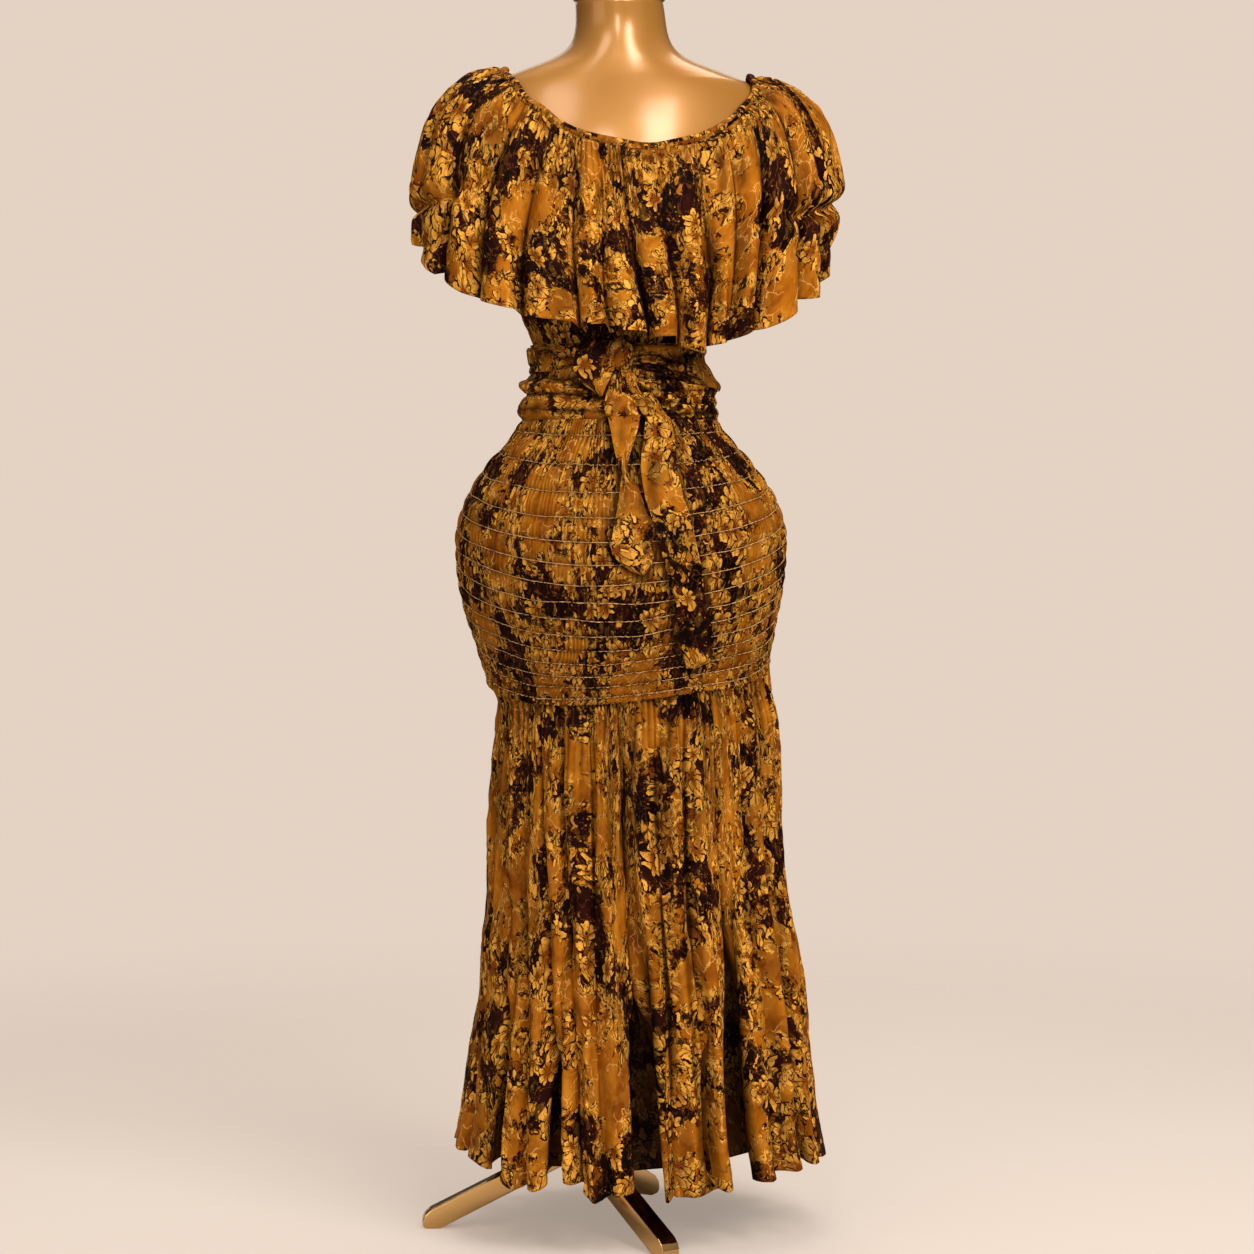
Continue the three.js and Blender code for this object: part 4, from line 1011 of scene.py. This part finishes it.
# the loop, folded over like a leaf: z, left, right and y down the front and up behind
loopRows = np.array([
    [1066, -42, -3, -101], [1054, -52, -3, -104.5], [1042, -55, -5, -107.5],
    [1031, -55, -8, -109.5], [1019, -48, -12.5, -110], [1012, -41, -17, -109.3],
    [1004, -29, -20, -108], [1000, -25, -22, -106.8], [1001, -26, -21, -104.5],
    [1010, -37, -19, -102.6], [1021, -46, -15, -101.6], [1038, -50, -10, -99.6],
    [1050, -47, -8, -98.2], [1060, -40, -6, -97],
])

# the hanging ends, cut straight with crisp corners: z, left, right and lift off the hips
tailRows = {
    "left": [[1022.7, -7.9, -0.9, 14], [1007.5, -14.9, 1.4, 13], [995.9, -16, 8.4, 13],
             [984.2, -16, 16.5, 12], [971.4, -13.7, 21.1, 11], [958.6, -11.3, 18.8, 9],
             [943.6, -9, 15.3, 8], [926.2, -5.5, 9.5, 7], [914.7, -2, 7.2, 6], [903.3, 0.3, 9.5, 6],
             [891.9, -0.8, 19.8, 5], [880.5, -2, 24.4, 5], [866.8, -4.2, 27.8, 4.5],
             [855.4, -6.5, 35.8, 4.5], [848.6, -7.7, 39.2, 4.5], [834.9, -9.9, 35.8, 4.5],
             [829.2, -12.2, 33.5, 4.5], [817.8, -8.8, 36.9, 4.5], [809.8, -3.1, 36.9, 4.5],
             [800.6, 10.6, 30.1, 4.5], [796, 22.1, 26.6, 4.5]],
    "right": [[1028.5, 0.2, 8.4, 13], [1013.3, 1.4, 18.8, 12], [1001.8, 6, 29.3, 12],
              [990.1, 13, 38.6, 11], [978.5, 22.3, 47.9, 10], [966.8, 26.9, 54.9, 8],
              [949.4, 25.7, 59.4, 6], [932, 23.4, 61.6, 5], [914.7, 22.2, 62.6, 4],
              [897.5, 24.4, 67.1, 3.6], [880.4, 27.8, 70.4, 3.6], [863.3, 33.5, 77.3, 3.6],
              [846.2, 39.2, 81.8, 3.6], [829.1, 43.8, 85.3, 3.6], [811.9, 48.4, 88.8, 3.6],
              [794.6, 53, 91.2, 3.6], [777.2, 57.7, 93.6, 3.6], [765.5, 61.2, 96, 3.6],
              [742.2, 61.3, 102.1, 3.6], [728.1, 59.1, 104.6, 3.6], [706.6, 68.6, 103.7, 3.6],
              [692.3, 73.3, 101.5, 3.6], [686.3, 74.5, 88.6, 3.6]],
}


# painted shadow: cloth next to the bow is darkened along the bow's edges, where its shade falls
bowShade = {"strength": 0.95, "spread": 60}


def shadeBesideBow(grid):
    x, z = grid[..., 0], grid[..., 2]
    dark = 0
    for rows in (np.array(tailRows["left"]), np.array(tailRows["right"]), loopRows[:8]):
        left, right = (np.interp(-z, -rows[:, 0], rows[:, i]) for i in (1, 2))
        off = np.maximum(np.maximum(left - x, x - right), 0)
        below = np.maximum(np.maximum(rows[-1, 0] - z, z - rows[0, 0]), 0)
        dark = np.maximum(dark, np.exp(-((off ** 2 + below ** 2) / bowShade["spread"])))
    return bowShade["strength"] * dark * (grid[..., 1] < 0)


# waist: bunched cloth lying in rolls

waistLook = {"columns": 560, "rows": 74, "lying": 17, "roll": 5.0, "small": 1.7, "upright": 0.8}
column = np.linspace(0, 1, waistLook["columns"] + 1)
turn, t = np.meshgrid(column, np.linspace(0, 1, waistLook["rows"] + 1))
angle = 360 * turn - 90
z = lerp(waistTop, waistBottom, t)
grid = waistPoint(angle, z)
loose = smooth(0, 0.1, t) * smooth(0, 0.08, 1 - t)
tilt = 7 * np.sin(2 * np.pi * turn) + 4 * uneven(turn * 9, 0.4, 41, 9)
rolls = crests(turn * 11, (z + tilt) / 15.5, 42, 11)
creases = crests(turn * 34, (z + 2 * tilt) / 7.5, 43, 34)
upright = crests(turn * 120, z / 24, 44, 120)
wide = waistLook["lying"] * (1 + 0.22 * uneven(turn * 7, 0.5, 45, 7))
lying = np.abs(np.sin(np.pi * (z + 1.6 * tilt - 975) / wide)) ** 0.75
swell = waistLook["roll"] * (lying - 0.55) * (0.75 + 0.5 * uneven(turn * 16, z / 22, 46, 16))
swell = swell + 1.4 * rolls + waistLook["small"] * creases + waistLook["upright"] * upright
# flatter under the sash, and one strand from the knot down to the right
underSash = smooth(-8, 2, angle) * (1 - smooth(84, 92, angle)) * smooth(1003, 1010, z)
swell = swell * (1 - 0.7 * underSash)
overStrand = z - (1024 - 0.95 * (angle - 3))
strand = smooth(0, 8, angle) * (1 - smooth(40, 52, angle))
underStrand = strand * np.exp(-((overStrand + 10) / 4.5) ** 2)
swell = swell + 5 * strand * np.exp(-(overStrand / 5.5) ** 2) - 4 * underStrand
grid = grid + normalsOf(grid, True) * (0.8 * loose * (swell - 0.3))[..., None]
# painted shade in the hollows between the rolls, in the creases, beside the bow and under the
# strand from the knot; painted highlight on the rolls
creased = np.clip(-0.5 * rolls - 0.5 * creases, -0.2, 0.5)
waistValley = loose * (1.1 * (1 - lying) ** 2 - 0.3 * lying ** 3 + creased)
waistValley = np.clip(waistValley + shadeBesideBow(grid) + 0.7 * underStrand, -0.4, 0.9)
for half, name, start in ((0, "back", (5.2, 0.1)), (1, "front", (6.0, 0.8))):
    part = np.ascontiguousarray(halves(grid)[half])
    clothSheet(f"waist_{name}_bunched", part, clothCoordinates(part, start, 1.25, 1.6), dressCloth,
               f"waist_{name}", valley=halves(waistValley)[half], cut=(0.32, 0.14),
               rests=["form_shell"])
print("waist made")

# hips: shirred with rows of elastic thread, puffs between them

hipLook = {"columns": 1060, "threads": 15, "rowsEach": 8, "puff": 2.5, "pull": 0.26,
           "crimps": 212, "crimp": 1.35, "threadRadius": 0.62, "threadLift": 0.75,
           "overhang": 3.5}
bands = hipLook["threads"] * hipLook["rowsEach"] + 1
turn, t = np.meshgrid(np.linspace(0, 1, hipLook["columns"] + 1),
                      (np.arange(bands + hipLook["rowsEach"] % 2) / bands).clip(0, 1))
t = t / t.max()
angle = 360 * turn - 90
bandAt = hipLook["threads"] * t
wanderZ = 1.6 * uneven(turn * 30, bandAt * 0.8, 51, 30) * np.sin(np.pi * t) ** 0.5
z = hipHeight(angle, t) + wanderZ
grid = bodyPoint(angle, z)
out = normalsOf(grid, True)
puff = np.abs(np.cos(np.pi * bandAt)) ** 0.75
bandNumber = np.floor(bandAt + 0.5)
fromAxis = np.linalg.norm(grid[..., :2], axis=-1)
tight = 0.45 + 0.55 * smooth(150, 186, np.abs(186 - fromAxis) + 150)
slope = 0.9 * smooth(0.55, 1, t) * (1 + 0.6 * np.cos(np.radians(angle - 60)))
crimpPhase = (hipLook["crimps"] * turn + 1.1 * uneven(turn * 53, bandNumber * 3.3 + 0.5, 52, 53)
              + slope * (bandAt - bandNumber) * 3 + 0.5 * uneven(turn * 120, bandAt, 53, 120))
crimp = np.sin(2 * np.pi * crimpPhase)
crimpStrength = 0.8 + 0.4 * uneven(turn * 70, bandAt, 54, 70)
crimpRise = hipLook["crimp"] * crimp * tight * (1.1 - 0.55 * puff) * crimpStrength
puffStrength = 0.8 + 0.3 * uneven(turn * 40, bandNumber * 2.1, 55, 40)
puffRise = hipLook["puff"] * (puff - 0.45) * puffStrength
ends = smooth(0, 0.012, t)
overhang = hipLook["overhang"] * smooth(0.93, 1, t)
creased = crests(turn * 130, bandAt * 1.4, 57, 130)
lift = ends * (crimpRise + puffRise + 0.6 * creased) - hipLook["pull"] + overhang
grid = grid + out * lift[..., None]
# painted shade in the crimps' hollows and along the thread rows, painted highlight on the puffs,
# painted shadow beside the bow; the rolled hem gets painted shade too
hipValley = 0.85 * np.clip(-crimp, 0, 1) ** 1.5 * (1.15 - 0.5 * puff) * tight
hipValley = hipValley * (0.7 + 0.5 * uneven(turn * 48, bandAt * 0.7, 58, 48))
hipValley = hipValley + 0.4 * (1 - puff) ** 2 - 0.22 * puff * np.clip(crimp, 0, 1)
hipValley = np.clip(hipValley + shadeBesideBow(grid), -0.3, 0.85)
rolled = withHem(grid, True, 2.0)
hipValley = np.concatenate([hipValley, np.full((4, hipValley.shape[1]), 0.6)], 0)
for half, name, start in ((0, "back", (7.1, 0.3)), (1, "front", (9.0, 1.0))):
    part = np.ascontiguousarray(halves(rolled)[half])
    clothSheet(f"hip_{name}_shirred", part, clothCoordinates(part, start, 1.2, 1.0), dressCloth,
               f"hip_{name}", valley=halves(hipValley)[half], cut=(0.76, 0.36),
               rests=["form_shell"])

# the elastic thread itself, lying in each row
threadPoints, threadFaces = [], []
gridOut = normalsOf(grid, True)
rowsAll = grid.shape[0] - 1
for k in range(hipLook["threads"]):
    at = (k + 0.5) / hipLook["threads"] * rowsAll
    low = int(at)
    share = at - low
    path = lerp(grid[low], grid[low + 1], share)[:-1:3]
    normal = unit(lerp(gridOut[low], gridOut[low + 1], share)[:-1:3])
    path = path + normal * hipLook["threadLift"]
    along = unit(np.roll(path, -1, 0) - np.roll(path, 1, 0))
    across = unit(np.cross(normal, along))
    count = len(path)
    radius = hipLook["threadRadius"] * (1 + 0.25 * uneven(np.arange(count) * 0.6, k, 56))[:, None]
    offset = sum(len(p) for p in threadPoints)
    for side in (90, 210, 330):
        s, c = math.sin(math.radians(side)), math.cos(math.radians(side))
        threadPoints.append(path + normal * radius * s + across * radius * c)
    i = np.arange(count)
    after = (i + 1) % count
    for s in range(3):
        a, b = offset + s * count, offset + ((s + 1) % 3) * count
        threadFaces.append(np.stack([a + i, a + after, b + after, b + i], -1))
threads = meshOf("shirring_threads", np.concatenate(threadPoints), np.concatenate(threadFaces))
addPiece("shirring_threads", threads, threadFinish, "dress_cloth")
print("hips made")

# skirt: gathered on to the hip panels, long uneven folds, open hem

skirtLook = {"columns": 740, "rows": 136, "gathers": 128, "gather": 2.3, "fade": 0.36,
             "crinkle": 3.2, "small": 1.8,
             # angle, width in degrees and depth
             "gaps": ((8.5, 3.4, 52), (37.5, 4.2, 50), (-46.5, 2.2, 22), (-22, 2.0, 20),
                      (66, 2.4, 18), (128, 3.0, 30), (177, 3.4, 40), (229, 3.0, 30))}
column = np.linspace(0, 112, skirtLook["columns"] + 1)
c, t = np.meshgrid(column, np.linspace(0, 1, skirtLook["rows"] + 1))
grid, wave = skirtPoint(c, t)
turn = c / 112
out = normalsOf(grid, True)
gatherAt = skirtLook["gathers"] * turn + 0.8 * uneven(turn * 64, t * 4, 61, 64)
gather = np.sin(2 * np.pi * gatherAt)
fading = np.clip(1 - t / skirtLook["fade"], 0, 1) ** 1.2
strength = 0.75 + 0.5 * uneven(turn * 45, t * 2, 62, 45)
gatherRise = skirtLook["gather"] * gather * fading * strength
lengthwise = crests(turn * 84 + 0.5 * uneven(turn * 30, t * 6, 63, 30), t * 4.2, 64, 84)
short = crests(turn * 150, t * 24 + turn * 30, 65, 150)
slant = crests(turn * 96, t * 17 - turn * 64, 66, 96)
loose = smooth(0, 0.08, t)
small = skirtLook["small"] * (0.6 * short + 0.8 * slant)
crinkle = loose * (skirtLook["crinkle"] * lengthwise + small)
hemLine = 0.5 * smooth(0.983, 0.994, t) - 0.9 * np.exp(-((t - 0.979) / 0.003) ** 2)
# the deepest folds open into gaps towards the hem, dark from real shade and from painted shade
gap = 0
gapAngle, _, depthAt = foldAt(skirtFolds, c, t, 5)
for at, wide, depth in skirtLook["gaps"]:
    off = (gapAngle - at - 1.6 * np.sin(6 * t) + 180) % 360 - 180
    near = np.exp(-(np.abs(off) / (wide * (0.35 + 0.65 * t))) ** 2.6)
    gap = gap + depth * near * smooth(0.35, 0.95, t)
grid = grid + out * (gatherRise + 0.62 * crinkle + 0.5 * hemLine - gap)[..., None]
above = grid[0] + vec(0, 0, np.full(grid.shape[1], 7.0)) - out[0] * 2.2
grid = np.concatenate([above[None], grid], 0)
# painted shade in the folds' valleys, in the gaps and between the gathers, painted highlight on the
# crests; the top row under the hips and the turned hem get painted shade too
skirtValley = np.clip(-wave, 0, 1) ** 2 * smooth(0.02, 0.3, t)
skirtValley = skirtValley * (0.2 + 0.8 * smooth(4, 15, -depthAt))
skirtValley = skirtValley + 0.8 * smooth(0.8, 0.98, -wave) * smooth(2.5, 6, -depthAt)
skirtValley = skirtValley - 0.2 * np.clip(wave, 0, 1) ** 3 * t + 0.9 * np.clip(gap / 16, 0, 1)
skirtValley = skirtValley + 0.65 * np.clip(-gather, 0, 1) * fading
skirtValley = skirtValley - 0.4 * loose * np.clip(lengthwise + 0.1, -1, 0.5)
hidden = np.full((1, skirtValley.shape[1]), 0.7)
skirtValley = np.concatenate([hidden, np.clip(skirtValley, -0.5, 0.92)], 0)
grid = withHem(grid, True)
skirtValley = np.concatenate([skirtValley, np.full((4, skirtValley.shape[1]), 0.3)], 0)
for half, name, start in ((0, "back", (11.3, 0.6)), (1, "front", (13.1, 1.5))):
    part = np.ascontiguousarray(halves(grid)[half])
    clothSheet(f"skirt_{name}_panel", part, clothCoordinates(part, start, 1.0), paleCloth,
               f"skirt_{name}", valley=halves(skirtValley)[half], cut=(1.05, 0.61),
               rests=[f"hip_{name}_shirred"])
print("skirt made")

# sash and bow

tieEdges = {"left": tableOf("away upper lower", [[0, 1062, 1045], [20, 1061, 1040],
                                                 [50, 1060, 1030], [87, 1060, 1026]]),
            "right": tableOf("away upper lower", [[0, 1062, 1040], [20, 1061, 1028],
                                                  [50, 1060, 1015], [87, 1060, 1009]])}
tieLook = {"columns": 130, "rows": 34, "thick": 1.2, "lift": 3.4, "fan": 2.4, "fine": 0.8}


# creases fan out from the knot, with painted shade between them and a painted highlight on their
# tops
def tieGrid(name, first, last, seed):
    angle, t = np.meshgrid(np.linspace(first, last, tieLook["columns"] + 1),
                           np.linspace(0, 1, tieLook["rows"] + 1))
    edges = tieEdges[name](np.abs(angle))
    z = lerp(edges["upper"], edges["lower"], t)
    out = outwardAt(bodyPoint, angle, z, 1, -1)
    along = np.abs(angle) * 1.75 + 26
    bearing = np.degrees(np.arctan2(1050 - z, along))
    crease = bearing / (9 + 0.05 * along) + 0.5 * uneven(along / 30, t * 2, seed)
    fan = np.abs(np.sin(np.pi * crease))
    fine = crests(along / 16 + 40, bearing / 5 + 40, seed + 1)
    lift = tieLook["lift"] + tieLook["fan"] * fan ** 0.8 + tieLook["fine"] * fine
    lift = lift * (0.7 + 0.3 * smooth(0, 0.08, t) * smooth(0, 0.08, 1 - t))
    return bodyPoint(angle, z) + out * lift[..., None], 0.9 * (1 - fan) ** 2 - 0.2 * fan ** 3


for name, first, last, seed, start in (("left", -86, -2.2, 71, (15.2, 0.1)),
                                       ("right", -1.8, 86, 171, (16.4, 0.5))):
    grid, valley = tieGrid(name, first, last, seed)
    ribbon(f"sash_{name}", grid, tieLook["thick"], clothCoordinates(grid, start, 1.0, 1.5),
           dressCloth, f"tie_{name}", valley=valley, cut=(0.17, 0.036 if name == "left" else 0.05),
           rests=["waist_back_bunched"])

# the knot: cloth wrapped slantwise round itself, with painted shade between the wraps
knotLook = {"centre": (1, -103.0, 1049), "size": (14, 9.5, 18), "around": 96, "rows": 56}
turns = np.linspace(0, 2 * np.pi, knotLook["around"] + 1)
falls = np.linspace(0.03, np.pi - 0.03, knotLook["rows"] + 1)
side, fall = np.meshgrid(turns, falls)
wraps = np.abs(np.sin(1.5 * side + 2.6 * fall + 0.5 * np.sin(2 * fall)))
girth = 0.86 + 0.2 * wraps ** 0.6 + 0.02 * uneven(side * 20 / np.pi, fall * 9, 73, 40)
knotGrid = vec(knotLook["size"][0] * np.sin(fall) * np.sin(side) * girth,
               -knotLook["size"][1] * np.sin(fall) * np.cos(side) * girth,
               knotLook["size"][2] * np.cos(fall) * girth) + np.array(knotLook["centre"])
clothSheet("bow_knot", knotGrid, clothCoordinates(knotGrid, (17.5, 0.2), 1.2), dressCloth,
           "tie_knot", valley=0.8 * (1 - wraps) ** 2, cut=(0.07, 0.045), held="folded",
           rests=["waist_back_bunched"])

# the loop: full in front, flatter where it comes back up behind; painted shade in its creases
loopLook = {"columns": 30, "rows": 130, "thick": 1.1, "full": 2.4, "crease": 1.1, "turn": 7}
length = np.cumsum(np.r_[0, np.linalg.norm(np.diff(loopRows[:, [0, 3]], axis=0), axis=1)])
side, along = np.meshgrid(np.linspace(0, 1, loopLook["columns"] + 1),
                          np.linspace(0, length[-1], loopLook["rows"] + 1))
z, left, right, y = (np.interp(along, length, loopRows[:, i]) for i in range(4))
front = along < length[loopLook["turn"]]
crease = crests(side * 2.2 + 9, along / 22, 74)
bow = loopLook["full"] * (1 - (2 * side - 1) ** 2) ** 0.7 + loopLook["crease"] * crease
loopGrid = vec(lerp(left, right, side), y + np.where(front, -bow, 0.35 * bow), z)
ribbon("bow_loop", loopGrid, loopLook["thick"], clothCoordinates(loopGrid, (3.72, 0.63)),
       darkCloth, "tie_loop", valley=0.55 * np.clip(-crease, 0, 1), cut=(0.055, 0.14),
       area=0.0056, rests=["bow_knot"])

# the hanging ends: a ridge along each and soft creases, with painted shade in the creases and a
# painted highlight on their tops
tailLook = {"columns": 28, "rows": 170, "thick": 1.0, "ridge": 1.6, "fold": 1.3, "small": 0.5}
for name, seed, material, start in (("left", 75, paleCloth, (4.41, 0.27)),
                                    ("right", 79, darkCloth, (2.63, 0.85))):
    rows = np.array(tailRows[name])
    drops = np.linspace(-rows[0, 0], -rows[-1, 0], tailLook["rows"] + 1)
    side, drop = np.meshgrid(np.linspace(0, 1, tailLook["columns"] + 1), drops)
    left, right, lift = (np.interp(drop, -rows[:, 0], rows[:, i]) for i in (1, 2, 3))
    x, z = lerp(left, right, side), -drop
    angle = np.degrees(np.arcsin(np.clip(x / bodyCloth(z)["right"], -1, 1)))
    out = outwardAt(bodyPoint, angle, z, 1, -1)
    fold = crests(side * 2.4 + 7 + drop / 160, -drop / 38, seed)
    small = crests(side * 6 + 20, drop / 15, seed + 1)
    ridge = 1 - np.abs(side - 0.42 - 0.2 * uneven(drop / 60 + 40, 0.5, seed + 2)) * 2
    lift = lift + 1.2 + tailLook["ridge"] * np.clip(ridge, -1, 1)
    lift = lift + tailLook["fold"] * fold + tailLook["small"] * small
    grid = bodyPoint(angle, z) + out * lift[..., None]
    ribbon(f"bow_tail_{name}", grid, tailLook["thick"], clothCoordinates(grid, start), material,
           f"tie_tail_{name}", valley=0.6 * np.clip(-fold, 0, 1) - 0.2 * np.clip(fold, 0, 1),
           cut=(0.05, 0.24 if name == "left" else 0.37), area=0.0105 if name == "left" else 0.0165,
           held="hung", rests=["hip_back_shirred"])
print("sash and bow made")

# stage, light and camera

# the floor's paper fades into the backdrop between two distances, in metres
studio = {"backdrop": "#e4d2c3", "floor": "#faf0e7", "ambient": "#f8ece0",
          "floorRadius": 3.2, "fade": (0.9, 2.6), "fadeStart": 0.42}
bpy.ops.mesh.primitive_circle_add(vertices=128, radius=studio["floorRadius"], fill_type="NGON",
                                  location=(0, 0, 0))
floor = bpy.context.object
floor.name = "floor"
floor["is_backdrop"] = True
floorPaper, tree = newMaterial("matt_backdrop_paper")
place = addNode(tree, "ShaderNodeTexCoord")
length = addNode(tree, "ShaderNodeVectorMath", links={0: place.outputs["Object"]},
                 operation="LENGTH")
away = addNode(tree, "ShaderNodeMapRange",
               {"From Min": studio["fade"][0], "From Max": studio["fade"][1],
                "To Min": studio["fadeStart"]},
               {"Value": length.outputs["Value"]}, interpolation_type="SMOOTHERSTEP")
paper = addNode(tree, "ShaderNodeBsdfPrincipled",
                {"Base Color": linear(studio["floor"]), "Roughness": 0.85})
clear = addNode(tree, "ShaderNodeBsdfTransparent")
blend = addNode(tree, "ShaderNodeMixShader", links={0: away.outputs["Result"], 1: paper.outputs[0],
                                                    2: clear.outputs[0]})
addNode(tree, "ShaderNodeOutputMaterial", links={"Surface": blend.outputs[0]})
floor.data.materials.append(floorPaper)

world = bpy.data.worlds.new("studio")
scene.world = world
world.use_nodes = True
tree = world.node_tree
tree.nodes.clear()
backdrop = addNode(tree, "ShaderNodeBackground",
                   {"Color": linear(studio["backdrop"]), "Strength": 1.0})
# the studio round it: dark low down, lighter overhead
around = addNode(tree, "ShaderNodeTexCoord")
height = addNode(tree, "ShaderNodeSeparateXYZ", links={0: around.outputs["Generated"]})
low = addNode(tree, "ShaderNodeMapRange", {"From Min": -0.3, "From Max": 0.8, "To Min": 0.06,
                                           "To Max": 0.36}, {"Value": height.outputs["Z"]})
front = addNode(tree, "ShaderNodeMapRange", {"From Min": -0.5, "From Max": 0.7, "To Min": 1.1,
                                             "To Max": 0.4}, {"Value": height.outputs["Y"]})
level = addNode(tree, "ShaderNodeMath", operation="MULTIPLY",
                links={0: low.outputs["Result"], 1: front.outputs["Result"]})
ambient = addNode(tree, "ShaderNodeBackground", {"Color": linear(studio["ambient"])},
                  {"Strength": level.outputs[0]})
rays = addNode(tree, "ShaderNodeLightPath")
choice = addNode(tree, "ShaderNodeMixShader", links={0: rays.outputs["Is Camera Ray"],
                                                     1: ambient.outputs[0], 2: backdrop.outputs[0]})
addNode(tree, "ShaderNodeOutputWorld", links={"Surface": choice.outputs[0]})

# the key light lights the cloth but leaves no mirror image in the lacquer
lights = {
    "key": {"at": (2.0, -2.3, 2.7), "to": (0, 0, 1.2), "size": 1.7, "power": 81,
            "tone": "#fff6ee", "mirrored": False},
    "strip": {"at": (-0.36, -2.76, 2.67), "to": (0, 0, 1.44), "size": 0.3, "tall": 1.0,
              "power": 12, "tone": "#fffaf4"},
    "boxRight": {"at": (0.83, -2.42, 3.15), "to": (0, 0, 1.32), "size": 0.7, "tall": 1.1,
                 "power": 27, "tone": "#fffaf4"},
    "boxLeft": {"at": (-1.2, -1.9, 3.4), "to": (0, 0, 1.32), "size": 0.8, "power": 9,
                "tone": "#fff6ea"},
    "fill": {"at": (-2.6, -1.9, 1.7), "to": (0, 0, 0.9), "size": 1.8, "power": 9,
             "tone": "#fff2e6"},
    "low": {"at": (-1.2, -2.5, 0.6), "to": (0, -0.2, 0.04), "size": 1.5, "power": 9,
            "tone": "#fff6ea"},
    "top": {"at": (0.1, 0.6, 3.2), "to": (0, 0, 0.6), "size": 1.6, "power": 26,
            "tone": "#fff6ea"},
    "behind": {"at": (-0.4, 3.0, 2.1), "to": (0, 0, 0.7), "size": 2.4, "power": 13,
               "tone": "#fff4e6"},
}
for name, look in lights.items():
    lamp = bpy.data.lights.new(name, "AREA")
    lamp.size = look["size"]
    if "tall" in look:
        lamp.shape = "RECTANGLE"
        lamp.size_y = look["tall"]
    lamp.energy = look["power"]
    lamp.color = linear(look["tone"])[:3]
    holder = bpy.data.objects.new(name, lamp)
    scene.collection.objects.link(holder)
    holder.visible_glossy = look.get("mirrored", True)
    holder.location = look["at"]
    aim = Vector(look["to"]) - Vector(look["at"])
    holder.rotation_euler = aim.to_track_quat("-Z", "Y").to_euler()

# millimetres from the axis, degrees down and focal length
view = {"x": 7.2, "y": -3700, "z": 920, "down": 3.0, "lens": 88.5}
lens = bpy.data.cameras.new("camera")
lens.lens = view["lens"]
lens.sensor_width = 36
lens.clip_end = 50
camera = bpy.data.objects.new("camera", lens)
scene.collection.objects.link(camera)
camera.location = [(view[k] + shift[i]) * 0.001 for i, k in enumerate("xyz")]
camera.rotation_euler = (math.radians(90 - view["down"]), 0, 0)
scene.camera = camera
scene.view_settings.view_transform = "Standard"
print("stage, lights and camera set")

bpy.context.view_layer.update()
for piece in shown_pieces():
    area = sum(polygon.area for polygon in piece.data.polygons)
    triangles = sum(len(polygon.vertices) - 2 for polygon in piece.data.polygons)
    print(f"{piece.name}: {triangles} triangles, {area:.4f} m2")
